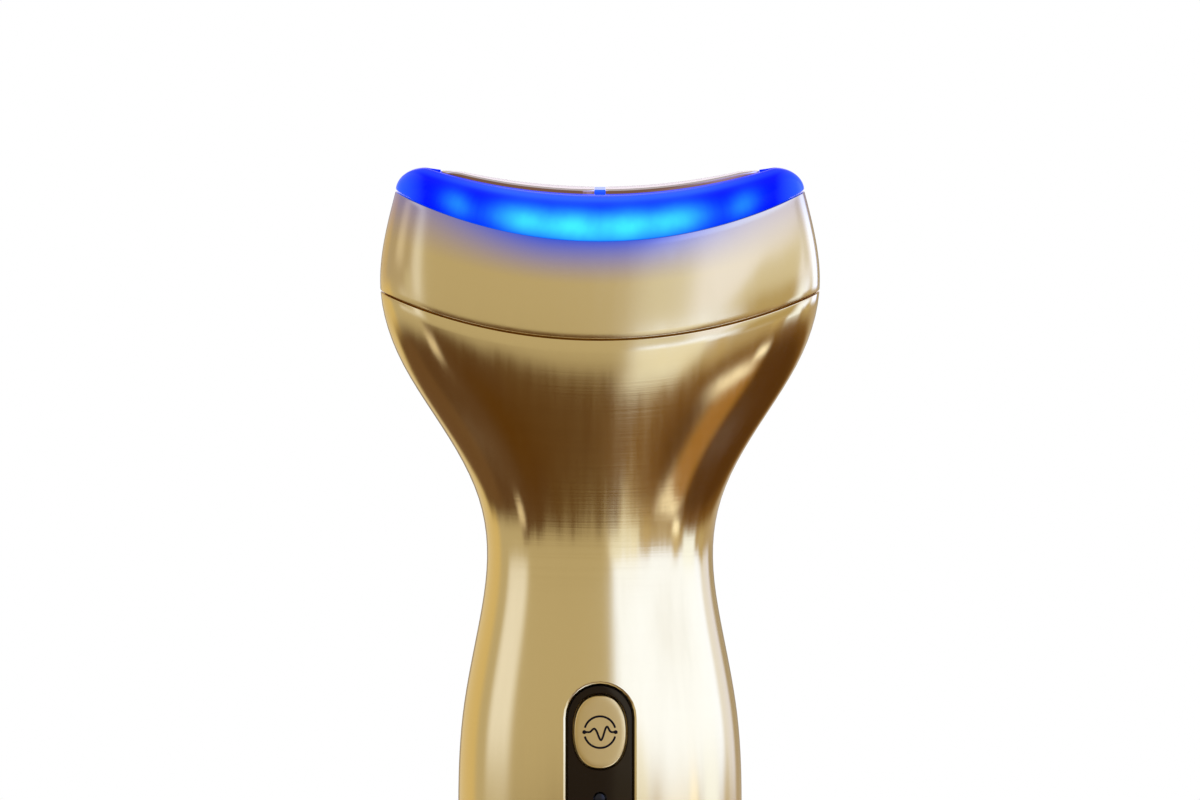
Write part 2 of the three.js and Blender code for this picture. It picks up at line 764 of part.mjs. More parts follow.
// Electrodes: the plates with the studs that reach down to the leaves
for (const [name, side] of sides) {
  const x = side * studOffset;
  const stud = post(studRadius, leafTop, ridgeHeight(x), x, 0);
  addPiece(lightHead, "electrode_" + name, makePlate(side, 0, plateProud).add(stud), brightMetal);
  const foot = [x - leafLength / 2, -leafWidth / 2];
  const leaf = join(
    block([...foot, lightBoardTop], [foot[0] + leafLength, leafWidth / 2, lightBoardTop + leafThickness]),
    block([...foot, lightBoardTop], [foot[0] + leafThickness, leafWidth / 2, leafTop]),
    block([...foot, leafTop - leafThickness], [foot[0] + leafLength, leafWidth / 2, leafTop]),
  );
  addPiece(lightHead, "electrode_contact_" + name, leaf, copper);
}

// Head frame: a ring inside the seam with a shelf, screw bosses and two legs down to the chassis
const shelfBottom = shelfTop - shelfThickness;
const chassisTop = spineTop + flangeThickness;
const ribbonSlot = (bottom, top) =>
  block(
    [-ribbonWidth / 2 - fitGap, -ribbonOffset - ribbonThickness / 2 - fitGap, bottom],
    [ribbonWidth / 2 + fitGap, -ribbonOffset + ribbonThickness / 2 + fitGap, top],
  );
function makeHeadFrame() {
  const tube = makeTube(seamHeight - frameBelowSeam, frameTop, frameInset, frameWall);
  let frame = tube.add(headPlate(shelfBottom, shelfTop, frameInset + frameWall / 2));
  for (const [, side] of sides) {
    const bossX = side * headScrewOffset;
    const legX = side * legOffset;
    const leg = block(
      [legX - legWidth / 2, legFront, chassisTop],
      [legX + legWidth / 2, legFront + legDepth, shelfBottom + shelfThickness / 2],
    );
    frame = join(frame, post(bossRadius, headBossBottom, shelfTop, bossX, 0), leg);
    frame = cut(
      frame,
      post(threadHole, headBossBottom + threadRelief, topHeight, bossX, 0),
      post(threadHole, 0, chassisTop + 2 * screwBite + threadRelief, legX, legMiddle),
    );
  }
  return frame.subtract(ribbonSlot(shelfBottom - overrun, shelfTop + overrun));
}
addPiece(lightHead, "head_frame", makeHeadFrame(), blackPlastic);

// Light board and reflector, both with holes for the two head screws
const headScrewHole = (side, bottom, top) =>
  post(threadHole, bottom, top, side * headScrewOffset, 0);
function makeLightBoard() {
  const board = headPlate(shelfTop, lightBoardTop, headInset);
  return cut(board, ...sides.map(([, side]) => headScrewHole(side, 0, topHeight)));
}
function makeReflector() {
  let plate = headPlate(lightBoardTop, reflectorTop, headInset);
  for (const [, side] of sides) {
    const x = side * studOffset;
    const leafWindow = block(
      [x - leafLength / 2 - runGap, -leafWidth / 2 - fitGap, 0],
      [x + leafLength / 2 + runGap, leafWidth / 2 + fitGap, topHeight],
    );
    plate = cut(plate, headScrewHole(side, 0, topHeight), leafWindow);
    for (const offset of lampOffsets)
      plate = plate.subtract(
        post(reflectorHoleRadius, lightBoardTop, reflectorTop, side * offset, 0, reflectorMouthRadius),
      );
  }
  return plate;
}
addPiece(lightHead, "led_board", makeLightBoard(), boardGreen);
addPiece(lightHead, "reflector_plate", makeReflector(), whitePlastic);

const lamp = block([-lampWidth / 2, -lampDepth / 2, 0], [lampWidth / 2, lampDepth / 2, lampHeight]);
const lampPlaces = [...lampOffsets.map((x) => -x).reverse(), ...lampOffsets];
lampPlaces.forEach((x, i) =>
  addPiece(lightHead, "led_" + (i + 1), lamp, lampWhite, [x, 0, lightBoardTop]),
);

// A pan-head screw that points up, with its seat at height zero
const makeScrew = (length) =>
  turned([
    [0, -screwHeadHeight],
    [screwHeadRadius, -screwHeadHeight],
    [screwHeadRadius, 0],
    [screwRadius, 0],
    [screwRadius, length],
    [0, length],
  ]);
const headScrew = makeScrew(reflectorTop - shelfBottom + screwBite);
for (const [name, side] of sides) {
  const mesh = addPiece(lightHead, "head_screw_" + name, headScrew, steel);
  mesh.position.set(side * headScrewOffset, 0, reflectorTop);
  mesh.rotation.x = Math.PI;
}

// Control strip: its front follows the body, and its flange sits on the shell's pad
const stripFront = -gripDepth / 2;
const signalHeights = [-1, 0, 1].map((step) => stripMiddle + step * signalPitch);
const faceSkin = (inset) =>
  bodyLoft(stripMiddle - stripLength, stripMiddle + stripLength, inset);
function makeStrip() {
  const face = frontPrism(slotShape(stripWidth, stripLength), 2 * stripFront, stripSeat, stripMiddle);
  const flangeShape = slotShape(stripWidth + 2 * stripFlange, stripLength + 2 * stripFlange);
  const flange = frontPrism(flangeShape, stripSeat, stripBack, stripMiddle);
  let strip = face.intersect(faceSkin(stripRecess)).add(flange);
  const holeShape = slotShape(buttonWidth + 2 * runGap, buttonLength + 2 * runGap);
  for (const [, up] of buttons)
    strip = strip.subtract(frontPrism(holeShape, 2 * stripFront, 0, stripMiddle + up * buttonOffset));
  for (const height of signalHeights)
    strip = strip.subtract(bar(signalRadius + runGap, 2 * stripFront, 0, 0, height));
  return strip;
}
addPiece(controls, "control_strip", makeStrip(), blackGloss);

// Push buttons, each with a flange behind the strip and its switch on the board
const plungerBack = switchFront + plungerDepth;
const plungerRoom = plungerBack + buttonTravel + runGap;
const plungerHole = bar(plungerRadius + fitGap, switchFront - overrun, plungerRoom, 0, 0);
const switchBody = cut(
  block([-switchWidth / 2, switchFront, -switchWidth / 2], [switchWidth / 2, boardFront, switchWidth / 2]),
  plungerHole,
);
const plunger = bar(plungerRadius, buttonFlangeBack, plungerBack, 0, 0);
const buttonSkin = faceSkin(-buttonProud);
for (const [name, up] of buttons) {
  const height = stripMiddle + up * buttonOffset;
  const key = frontPrism(slotShape(buttonWidth, buttonLength), 2 * stripFront, buttonFlangeBack, height);
  const flangeShape = slotShape(buttonWidth + 2 * buttonFlange, buttonLength + 2 * buttonFlange);
  const flange = frontPrism(flangeShape, buttonFlangeFront, buttonFlangeBack, height);
  addPiece(controls, name + "_button", key.intersect(buttonSkin).add(flange), gold);
  const switchGroup = new THREE.Group();
  switchGroup.position.set(0, 0, height);
  controls.add(switchGroup);
  addPiece(switchGroup, name + "_switch_body", switchBody, blackPlastic);
  addPiece(switchGroup, name + "_switch_plunger", plunger, whitePlastic);
}

// Light guide: a bar behind the strip with a pin to each signal window
function makeGuide() {
  const back = buttonFlangeFront + guideThickness;
  const base = block(
    [-guideWidth / 2, buttonFlangeFront, stripMiddle - guideHalf],
    [guideWidth / 2, back, stripMiddle + guideHalf],
  );
  const pins = signalHeights.map((height) =>
    bar(signalRadius, 2 * stripFront, back, 0, height).intersect(faceSkin(stripRecess)),
  );
  return join(base, ...pins);
}
addPiece(controls, "light_guide", makeGuide(), clearPlastic);

const signalLamp = block(
  [-signalLampWidth / 2, -signalLampHeight, -signalLampWidth / 2],
  [signalLampWidth / 2, 0, signalLampWidth / 2],
);
signalHeights.forEach((height, i) =>
  addPiece(controls, "indicator_led_" + (i + 1), signalLamp, lampWhite, [0, boardFront, height]),
);

// Chassis: a spine behind the board, a flange at each end and two stops for the battery
const cellMiddle = spineBack + cellGap + cellRadius;
const handleRoom = bodyLoft(baseCapHeight, headHeight, wall + fitGap);
function makeChassis() {
  const spine = block([-spineWidth / 2, spineFront, flangeBottom], [spineWidth / 2, spineBack, spineTop]);
  const stopRear = cellMiddle + cellRadius - stopShortfall;
  const flangeAt = (bottom, width) =>
    block([-width / 2, spineFront, bottom], [width / 2, spineBack + flangeReach, bottom + flangeThickness]);
  const stopAt = (bottom) =>
    block([-stopWidth / 2, spineFront, bottom], [stopWidth / 2, stopRear, bottom + stopThickness]);
  let chassis = join(
    spine,
    flangeAt(flangeBottom, flangeWidth),
    flangeAt(spineTop, spineWidth),
    stopAt(cellBottom - tabThickness - stopThickness),
    stopAt(cellTop + tabThickness),
  ).intersect(handleRoom);
  for (const [, side] of sides) {
    const baseX = side * baseScrewOffset;
    const bossTop = flangeBottom + flangeThickness + screwBite;
    chassis = chassis.add(post(bossRadius, flangeBottom, bossTop, baseX, 0));
    chassis = cut(
      chassis,
      post(threadHole, 0, bossTop + overrun, baseX, 0),
      post(threadHole, spineTop - overrun, chassisTop + overrun, side * legOffset, legMiddle),
      ...boardScrewHeights.map((height) =>
        bar(threadHole, -gripDepth, spineBack + overrun, side * boardScrewOffset, height),
      ),
    );
  }
  const tabSlot = (bottom) =>
    block(
      [-tabWidth / 2 - fitGap, -gripDepth, bottom - fitGap],
      [tabWidth / 2 + fitGap, spineBack + cellGap / 2, bottom + tabThickness + fitGap],
    );
  return cut(chassis, tabSlot(cellBottom - tabThickness), tabSlot(cellTop));
}
addPiece(handleInside, "inner_chassis", makeChassis(), blackPlastic);

// Main board with its chip, coil, capacitor and connector on the front
const boardSize = [[-boardWidth / 2, boardFront, boardBottom], [boardWidth / 2, boardBack, boardTop]];
const mainBoard = cut(
  block(...boardSize).intersect(handleRoom),
  ...boardScrewHeights.flatMap((height) =>
    sides.map(([, side]) =>
      bar(threadHole, boardFront - overrun, boardBack + overrun, side * boardScrewOffset, height),
    ),
  ),
);
addPiece(handleInside, "main_board", mainBoard, boardGreen);
const chip = block(
  [-chipWidth / 2, boardFront - chipThickness, boardHeightAt(chipShare) - chipWidth / 2],
  [chipWidth / 2, boardFront, boardHeightAt(chipShare) + chipWidth / 2],
);
addPiece(handleInside, "controller_chip", chip, blackPlastic);

const coil = turned([
  [0, 0],
  [coilRadius, 0],
  [coilRadius, coilRim],
  [coilWaistRadius, coilRim],
  [coilWaistRadius, coilLength - coilRim],
  [coilRadius, coilLength - coilRim],
  [coilRadius, coilLength],
  [0, coilLength],
]);
const coilPlace = [0, boardFront, boardHeightAt(coilShare)];
const coilMesh = addPiece(handleInside, "boost_coil", coil, copper, coilPlace);
coilMesh.rotation.x = Math.PI / 2;
const capacitorFront = boardFront - capacitorLength;
const capacitorOffset = (boardWidth / 2) * capacitorSideShare;
const capacitorHeight = boardHeightAt(capacitorShare);
const capacitor = bar(capacitorRadius, capacitorFront, boardFront, capacitorOffset, capacitorHeight);
addPiece(handleInside, "storage_capacitor", capacitor, steel);
const connector = block(
  [-connectorWidth / 2, boardFront - connectorDepth, connectorTop - connectorTall],
  [connectorWidth / 2, boardFront, connectorTop],
);
addPiece(handleInside, "head_connector", connector, whitePlastic);

// A flat cable whose middle line runs through points of Y and Z
function makeRibbon(points, width) {
  const half = ribbonThickness / 2;
  const front = points.map(([y, z]) => [y - half, z]);
  const back = points.map(([y, z]) => [y + half, z]).reverse();
  return sidePrism([...back, ...front], width);
}
const ribbonStart = boardFront - connectorDepth / 2;
const headRibbon = makeRibbon(
  [
    [ribbonStart, connectorTop],
    [ribbonStart, chassisTop + ribbonBendGap],
    [-ribbonOffset, chassisTop + ribbonBendRise],
    [-ribbonOffset, shelfTop - fitGap],
  ],
  ribbonWidth,
);
addPiece(handleInside, "head_ribbon", headRibbon, copper);
const socketBoardTop = socketBoardBottom + socketBoardThickness;
const chargeRibbonPlace = boardFront + boardThickness / 2;
const chargeRibbon = makeRibbon(
  [[chargeRibbonPlace, socketBoardTop], [chargeRibbonPlace, boardBottom - fitGap]],
  chargeRibbonWidth,
);
addPiece(handleInside, "charge_ribbon", chargeRibbon, copper);

// Battery cell and the two tabs that lead from its ends to the back of the board
const cell = post(cellRadius, cellBottom, cellTop, 0, cellMiddle);
addPiece(handleInside, "battery_cell", cell, cellWrap);
function makeTab(bottom, up) {
  const far = up > 0 ? bottom + tabRise : bottom + tabThickness - tabRise;
  const flat = block(
    [-tabWidth / 2, boardBack, bottom],
    [tabWidth / 2, cellMiddle + tabReach, bottom + tabThickness],
  );
  const foot = block(
    [-tabWidth / 2, boardBack, Math.min(bottom, far)],
    [tabWidth / 2, boardBack + tabThickness, Math.max(bottom + tabThickness, far)],
  );
  return flat.add(foot);
}
addPiece(handleInside, "battery_tab_positive", makeTab(cellTop, 1), steel);
addPiece(handleInside, "battery_tab_negative", makeTab(cellBottom - tabThickness, -1), steel);

// Charging socket with its mouth down, under its own board
function makeSocket() {
  const shell = upPrism(slotShape(socketWidth, socketDepth), socketBottom, socketBoardBottom);
  const mouth = slotShape(socketWidth - 2 * socketWall, socketDepth - 2 * socketWall);
  const mouthTop = socketBoardBottom - socketBack;
  const hollow = upPrism(mouth, 0, mouthTop);
  const tongue = block(
    [-tongueWidth / 2, -tongueThickness / 2, socketBottom + tongueRecess],
    [tongueWidth / 2, tongueThickness / 2, mouthTop + socketBack / 2],
  );
  return shell.subtract(hollow).add(tongue);
}
addPiece(handleInside, "usb_socket", makeSocket(), steel);
const socketBoard = block(
  [-socketBoardWidth / 2, -socketBoardDepth / 2, socketBoardBottom],
  [socketBoardWidth / 2, socketBoardDepth / 2, socketBoardTop],
);
addPiece(handleInside, "usb_board", socketBoard, boardGreen);

// Screws of the chassis, the board and the base
const chassisScrew = makeScrew(flangeThickness + 2 * screwBite);
const baseScrewSeat = recessTop + fitGap + screwHeadHeight;
const baseScrew = makeScrew(flangeBottom + flangeThickness - baseScrewSeat + screwBite / 2);
for (const [name, side] of sides) {
  const framePlace = [side * legOffset, legMiddle, spineTop];
  addPiece(handleInside, "frame_screw_" + name, chassisScrew, steel, framePlace);
  const basePlace = [side * baseScrewOffset, 0, baseScrewSeat];
  addPiece(handleInside, "base_screw_" + name, baseScrew, steel, basePlace);
}
const boardScrew = makeScrew(spineBack - boardFront + screwBite);
let boardScrewCount = 0;
for (const height of boardScrewHeights)
  for (const [, side] of sides) {
    boardScrewCount += 1;
    const mesh = addPiece(handleInside, "board_screw_" + boardScrewCount, boardScrew, steel);
    mesh.position.set(side * boardScrewOffset, boardFront, height);
    mesh.rotation.x = -Math.PI / 2;
  }

export default device;
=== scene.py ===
"""A hand-held microcurrent facial device: a brushed gold body, a lit blue cap with two contact plates,
a black control strip with two push keys, and a base with a charging port."""
import math

import bmesh
import bpy
import numpy as np
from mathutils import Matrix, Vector
from mathutils.bvhtree import BVHTree


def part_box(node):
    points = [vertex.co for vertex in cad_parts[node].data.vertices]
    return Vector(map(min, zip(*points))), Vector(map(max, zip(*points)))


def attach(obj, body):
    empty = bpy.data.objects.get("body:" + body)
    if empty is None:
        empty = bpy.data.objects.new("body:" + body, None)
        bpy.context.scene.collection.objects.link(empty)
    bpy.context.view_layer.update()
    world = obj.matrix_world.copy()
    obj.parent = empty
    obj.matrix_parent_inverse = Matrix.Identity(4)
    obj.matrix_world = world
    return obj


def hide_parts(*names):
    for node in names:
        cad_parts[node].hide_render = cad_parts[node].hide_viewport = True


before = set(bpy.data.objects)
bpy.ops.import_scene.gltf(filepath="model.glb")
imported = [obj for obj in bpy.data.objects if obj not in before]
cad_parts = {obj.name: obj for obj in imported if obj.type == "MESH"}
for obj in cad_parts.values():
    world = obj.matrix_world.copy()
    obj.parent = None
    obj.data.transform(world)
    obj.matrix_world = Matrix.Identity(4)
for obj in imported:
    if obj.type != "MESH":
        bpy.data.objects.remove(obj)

bl_info = {
    "name": "Facial Device Maker",
    "version": (1, 0, 0),
    "blender": (4, 5, 0),
    "location": "3D View > Sidebar > Facial Device",
    "description": "Makes the visible pieces of a facial device round its fixed frame",
    "category": "Add Mesh",
}

MM = 0.001
QUARTER = math.pi / 2
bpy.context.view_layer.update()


# Values that a user may change
def size(name, millimetres, note):
    """A length, given in millimetres."""
    values = {"default": millimetres * MM, "unit": "LENGTH", "precision": 5}
    return bpy.props.FloatProperty(name=name, description=note, **values)


def number(name, value, note):
    """A plain number."""
    return bpy.props.FloatProperty(name=name, description=note, default=value, precision=4)


def shade(name, colour, note):
    """A colour, in linear values."""
    values = {"default": colour, "size": 3, "subtype": "COLOR", "min": 0.0, "max": 1.0}
    return bpy.props.FloatVectorProperty(name=name, description=note, **values)


class BodySizes(bpy.types.PropertyGroup):
    """Sizes of the gold body, from the base to the rim of the light cap."""

    grip_height: size("Grip height", 80, "Height of the widest place of the handle")
    neck_height: size("Neck height", 117, "Height of the narrowest place of the neck")
    head_height: size("Head height", 152.5, "Height of the widest place of the head")
    rim_height: size("Rim height", 165, "Height of the light cap's rim at its two ends")
    top_height: size("Top height", 168, "Height of the light cap's two ends")
    base_width: size("Base width", 28.6, "Width at the base")
    grip_width: size("Grip width", 37.4, "Width at the grip")
    neck_width: size("Neck width", 29.8, "Width at the neck")
    head_width: size("Head width", 57.92, "Width at the head")
    rim_width: size("Rim width", 53.8, "Width at the rim")
    base_depth: size("Base depth", 23.6, "Depth at the base")
    grip_depth: size("Grip depth", 31.57, "Depth at the grip")
    neck_depth: size("Neck depth", 25.8, "Depth at the neck")
    head_depth: size("Head depth", 28.6, "Depth at the head")
    rim_depth: size("Rim depth", 24.6, "Depth at the rim")
    seam_height: size("Seam height", 151.8, "Height of the seam across the head, at its ends")
    seam_sag: size("Seam dip", 5.6, "How far the seam dips in its middle")
    rim_sag: size("Rim dip", 5.9, "How far the rim dips in its middle")
    seam_gap: size("Seam gap", 0.22, "Open width of the seams round the body")
    parting_gap: size("Parting gap", 0.3, "Open width of the line between the front and rear shells")
    wall: size("Wall", 1.8, "Thickness of the body's walls")
    edge_radius: size("Edge radius", 0.13, "Rounding of the shells' edges at the seams")
    section_power: number("Section power", 2.2, "Squareness of the sections: 2 is an ellipse")


class CapSizes(bpy.types.PropertyGroup):
    """Sizes of the light cap and its contact plates."""

    ridge_width: size("Ridge width", 46, "Width of the cap's hollow top")
    ridge_depth: size("Ridge depth", 10, "Depth of the cap's hollow top")
    ridge_sag: size("Ridge dip", 3.3, "How far the cap's top dips in its middle")
    lip_drop: size("Lip drop", 2.2, "How far the cap's lip reaches below the rim")
    lip_thickness: size("Lip thickness", 1.4, "Thickness of the lip")
    roof: size("Roof", 1.6, "Thickness of the cap's top")
    plate_start: size("Plate start", 0.75, "Distance from the middle to each plate")
    plate_reach: size("Plate reach", 20.9, "Distance from the middle to each plate's tip")
    plate_depth: size("Plate depth", 7.6, "Depth of the plates")
    plate_proud: size("Plate height", 0.6, "How far the plates stand above the cap's top")
    plate_sunk: size("Plate depth in cap", 0.5, "How far the plates are let into the cap's top")
    plate_gap: size("Plate gap", 0.08, "Gap round each plate")


class ControlSizes(bpy.types.PropertyGroup):
    """Sizes of the control strip, its keys and its signal windows."""

    strip_width: size("Strip width", 8.5, "Width of the black strip")
    strip_length: size("Strip length", 37.6, "Length of the black strip")
    strip_middle: size("Strip middle", 82.0, "Height of the strip's middle")
    strip_recess: size("Strip recess", 0.25, "How deep the strip lies in the body's surface")
    key_width: size("Key width", 6.8, "Width of each push key")
    key_length: size("Key length", 9.5, "Length of each push key")
    key_offset: size("Key offset", 12.75, "Distance of each key's middle from the strip's middle")
    key_proud: size("Key height", 0.12, "How far the keys stand above the body's surface")
    key_gap: size("Key gap", 0.2, "Gap round each key")
    signal_pitch: size("Signal pitch", 4, "Distance between the signal windows")
    signal_radius: size("Signal radius", 0.7, "Radius of each signal window")
    sign_radius: size("Sign radius", 2.06, "Radius of the ring on each key")
    sign_stroke: size("Sign stroke", 0.28, "Width of the lines of the signs on the keys")


class BaseSizes(bpy.types.PropertyGroup):
    """Sizes of the base cap, its foot and its port."""

    cap_height: size("Base cap height", 9, "Height of the seam above the base")
    bottom: size("Base bottom", 0.3, "Height of the base cap's underside")
    edge: size("Base edge", 1.6, "Rounding of the base cap's lower edge")
    floor: size("Base floor", 3, "Thickness of the base cap's floor")
    foot_width: size("Foot width", 23, "Width of the rubber foot")
    foot_depth: size("Foot depth", 18, "Depth of the rubber foot")
    foot_band: size("Foot band", 4.2, "Width of the foot's band")
    foot_thickness: size("Foot thickness", 1, "Thickness of the foot")
    slot_width: size("Port width", 9.54, "Width of the port's slot")
    slot_depth: size("Port depth", 3.86, "Depth of the port's slot")
    screw_offset: size("Screw offset", 8.9217, "Distance of the base screws from the middle")


class Finishes(bpy.types.PropertyGroup):
    """Colours of the finishes, as linear values."""

    gold: shade("Gold", (0.80, 0.60, 0.23), "Brushed gold of the body")
    key: shade("Key gold", (0.645, 0.44, 0.13), "Satin gold of the push keys")
    gold_dark: shade("Deep gold", (0.68, 0.48, 0.16), "Gold in the fine grooves of the brushing")
    # Painted light: this blue is given to the crown's gold as emission just below the rim
    glow: shade("Glow", (0.0, 0.10, 0.98), "Blue light that falls on the gold under the rim")
    # Painted light of the cap, given as emission in place of light from the lamps below it; lit_ends is also
    # the colour of the painted highlight along the upper edge and of the paler light on the divider
    lit_deep: shade("Deep light", (0.0, 0.004, 0.93), "Cap between the lamps")
    lit_lamp: shade("Lamp light", (0.055, 0.90, 1.0), "Cap above a lamp")
    lit_ends: shade("End light", (0.03, 0.15, 0.92), "Cap at its two ends")
    plate: shade("Contact plate", (0.86, 0.79, 0.78), "Polished contact plates")
    # Painted reflection: a dark warm colour given to the plates' sides
    plate_edge: shade("Plate edge", (0.30, 0.16, 0.10), "Sides of the contact plates")
    # Painted shade: dark brown for the tongues in the seams, where the gap lies in shade
    bronze: shade("Bronze", (0.24, 0.09, 0.006), "Edges that lie behind the seams")
    strip: shade("Strip", (0.003, 0.003, 0.004), "Black control strip")
    sign: shade("Sign", (0.005, 0.003, 0.003), "Signs on the keys")
    rubber: shade("Rubber", (0.045, 0.045, 0.048), "Foot and seals")
    steel: shade("Steel", (0.58, 0.58, 0.60), "Screws and socket")
    smoked: shade("Smoked plastic", (0.008, 0.008, 0.009), "Signal windows while they are dark")
    copper: shade("Copper", (0.72, 0.40, 0.22), "Contacts and ribbons")
    board: shade("Circuit board", (0.012, 0.10, 0.045), "Circuit boards")
    wrap: shade("Cell wrap", (0.03, 0.15, 0.36), "Battery wrap")
    black_plastic: shade("Black plastic", (0.018, 0.018, 0.020), "Chassis and head frame")
    white_plastic: shade("White plastic", (0.80, 0.80, 0.78), "Reflector and connectors")
    resin: shade("Lamp resin", (0.85, 0.82, 0.62), "Lamp bodies")


class StudioSizes(bpy.types.PropertyGroup):
    """Camera, floor and light."""

    distance: size("Camera distance", 2000, "Distance of the camera from the point that it looks at")
    elevation: bpy.props.FloatProperty(
        name="Camera elevation",
        description="Height of the view above the horizon",
        default=math.radians(4),
        subtype="ANGLE",
    )
    lens: number("Lens", 455.0, "Focal length in millimetres")
    aim_height: size("Aim height", 137.3, "Height that the camera looks at")
    floor_radius: size("Floor radius", 800, "Radius of the pale floor")
    fill: number("Fill light", 0.55, "Strength of the world on plain surfaces")
    lamp_power: number("Lamp power", 5.0, "Power of each soft lamp, in watts")


def sizes(name):
    """A group's values under their own names, its lengths in millimetres."""
    group = getattr(bpy.context.scene, "device_" + name)
    values = {}
    for key in group.__annotations__:
        value = getattr(group, key)
        if group.bl_rna.properties[key].unit == "LENGTH":
            value = value / MM
        values[key] = value if isinstance(value, float) else tuple(value)
    return type("Sizes", (), values)


# Body form: for each stretch between two main heights, shares of the rise and of the change in size there
FORM_SHARES = (
    ((0.33, 0.5), (0.67, 0.86), (1, 1)),
    ((0.44, 0.17), (0.73, 0.675), (1, 1)),
    ((0.22, 0.09), (0.44, 0.37), (0.7, 0.78), (1, 1)),
    ((0.5, 0.28), (1, 1)),
)
# Steps round each half of the body, and distance between the rings of the body and of the crown
BODY_STEPS, BODY_PITCH, CROWN_PITCH = 72, 1.6, 0.8
# How deep the strip's flange lies below the widest place of the handle, and its width
SEAT_DEPTH, FLANGE = 3.4, 1.4


def smooth_curve(stations):
    """A smooth curve through stations of height and size, straight at its two ends."""
    height, value = np.array(stations, float).T
    count = len(height)
    gap = np.diff(height)
    matrix, right = np.eye(count), np.zeros(count)
    for i in range(1, count - 1):
        matrix[i, i - 1 : i + 2] = gap[i - 1], 2 * (gap[i - 1] + gap[i]), gap[i]
        right[i] = 6 * ((value[i + 1] - value[i]) / gap[i] - (value[i] - value[i - 1]) / gap[i - 1])
    bend = np.linalg.solve(matrix, right)

    def at(x):
        x = np.asarray(x, float)
        i = np.clip(np.searchsorted(height, x, side="right") - 1, 0, count - 2)
        low, high = (height[i + 1] - x) / gap[i], (x - height[i]) / gap[i]
        curve = (low**3 - low) * bend[i] + (high**3 - high) * bend[i + 1]
        return low * value[i] + high * value[i + 1] + curve * gap[i] ** 2 / 6

    return at


class BodyForm:
    """Half width, half depth and dip of the body at every height, in millimetres."""

    def __init__(self):
        self.s = s = sizes("body")
        heights = (0, s.grip_height, s.neck_height, s.head_height, s.rim_height)
        self.width, self.depth = (
            smooth_curve(self.stations(heights, marks))
            for marks in (
                (s.base_width, s.grip_width, s.neck_width, s.head_width, s.rim_width),
                (s.base_depth, s.grip_depth, s.neck_depth, s.head_depth, s.rim_depth),
            )
        )
        self.power = s.section_power
        self.seat = SEAT_DEPTH - s.grip_depth / 2

    @staticmethod
    def stations(heights, marks):
        """The main heights with the shares between them."""
        made = [(heights[0], marks[0])]
        for i, shares in enumerate(FORM_SHARES):
            (low, high), (first, last) = heights[i : i + 2], marks[i : i + 2]
            made += [(low + (high - low) * rise, first + (last - first) * change) for rise, change in shares]
        return made

    def sag(self, height):
        """The dip of the line that starts at this height at the body's two ends."""
        s = self.s
        height = np.asarray(height, float)
        share = np.clip((height - s.neck_height) / (s.seam_height - s.neck_height), 0, 1)
        rise = (height - s.seam_height) / (s.rim_height - s.seam_height)
        below = s.seam_sag * share**2 * (3 - 2 * share)
        return np.where(height <= s.seam_height, below, s.seam_sag + (s.rim_sag - s.seam_sag) * rise)

    def row(self, height, inset=0.0):
        """One ring: half width, half depth, height, dip and span."""
        half = float(self.width(height)) / 2
        return (half - inset, float(self.depth(height)) / 2 - inset, height, float(self.sag(height)), half)

    def rows(self, points):
        """Rings at the given heights and insets."""
        return [self.row(*point) for point in points]

    def height_of(self, x, z):
        """The height, at the body's two ends, of the line that passes through x and z."""
        height = np.array(z, float)
        for _ in range(40):
            half = self.width(height) / 2
            height = z + self.sag(height) * (1 - np.clip(np.abs(x) / half, 0, 1) ** 2)
        return height

    def front(self, x, z):
        """The body's front surface: Y at x and z."""
        height = self.height_of(x, z)
        half, deep = self.width(height) / 2, self.depth(height) / 2
        side = np.clip(np.abs(x) / half, 0, 1) ** self.power
        return -deep * (1 - side) ** (1 / self.power)


def levels(start, end, pitch):
    """Evenly spaced heights, no further apart than the pitch."""
    count = max(1, math.ceil((end - start) / pitch))
    return [start + (end - start) * i / count for i in range(count + 1)]


def rounding(edge, steps):
    """Points round an edge, from one face to the other: how far each lies below the two faces."""
    turns = (QUARTER * i / steps for i in range(steps + 1))
    return [(edge * (1 - math.sin(t)), edge * (1 - math.cos(t))) for t in turns]


def wall_points(low, high, pitch, edge, low_edge=None, low_steps=3):
    """Heights and insets up the outside of a wall whose two edges are rounded."""
    low_edge = low_edge or edge
    points = [(low + rise, inset) for rise, inset in reversed(rounding(low_edge, low_steps))]
    points += [(h, 0.0) for h in levels(low + low_edge, high - edge, pitch)[1:-1]]
    return points + [(high - drop, inset) for drop, inset in rounding(edge, 3)]


# Node trees
def feed(node, values):
    """Gives a node's named or counted inputs their values or links."""
    for key, value in values.items():
        socket = node.inputs[key]
        if isinstance(value, bpy.types.NodeSocket):
            node.id_data.links.new(value, socket)
        else:
            socket.default_value = (*value, 1.0)[:4] if socket.type == "RGBA" else value


def add(tree, kind, values=None, **choices):
    """A node with its choices set and its inputs fed."""
    node = tree.nodes.new(kind)
    for key, value in choices.items():
        setattr(node, key, value)
    feed(node, values or {})
    return node


def calc(tree, operation, *values):
    """A math node of either kind of tree."""
    return add(tree, "ShaderNodeMath", dict(enumerate(values)), operation=operation).outputs[0]


def times(tree, first, *others):
    """The product of two or more values."""
    for other in others:
        first = calc(tree, "MULTIPLY", first, other)
    return first


def named(tree, name, kind="FLOAT"):
    """A value that a geometry tree reads from the points."""
    return add(tree, "GeometryNodeInputNamedAttribute", {"Name": name}, data_type=kind).outputs[0]


def geometry_tree(name, **inputs):
    """A geometry tree with a geometry input and output, and named inputs of the given kinds."""
    tree = bpy.data.node_groups.new(name, "GeometryNodeTree")
    for label, kind in {"Geometry": "Geometry", **inputs}.items():
        tree.interface.new_socket(label, in_out="INPUT", socket_type="NodeSocket" + kind)
    tree.interface.new_socket("Geometry", in_out="OUTPUT", socket_type="NodeSocketGeometry")
    return tree, tree.nodes.new("NodeGroupInput").outputs


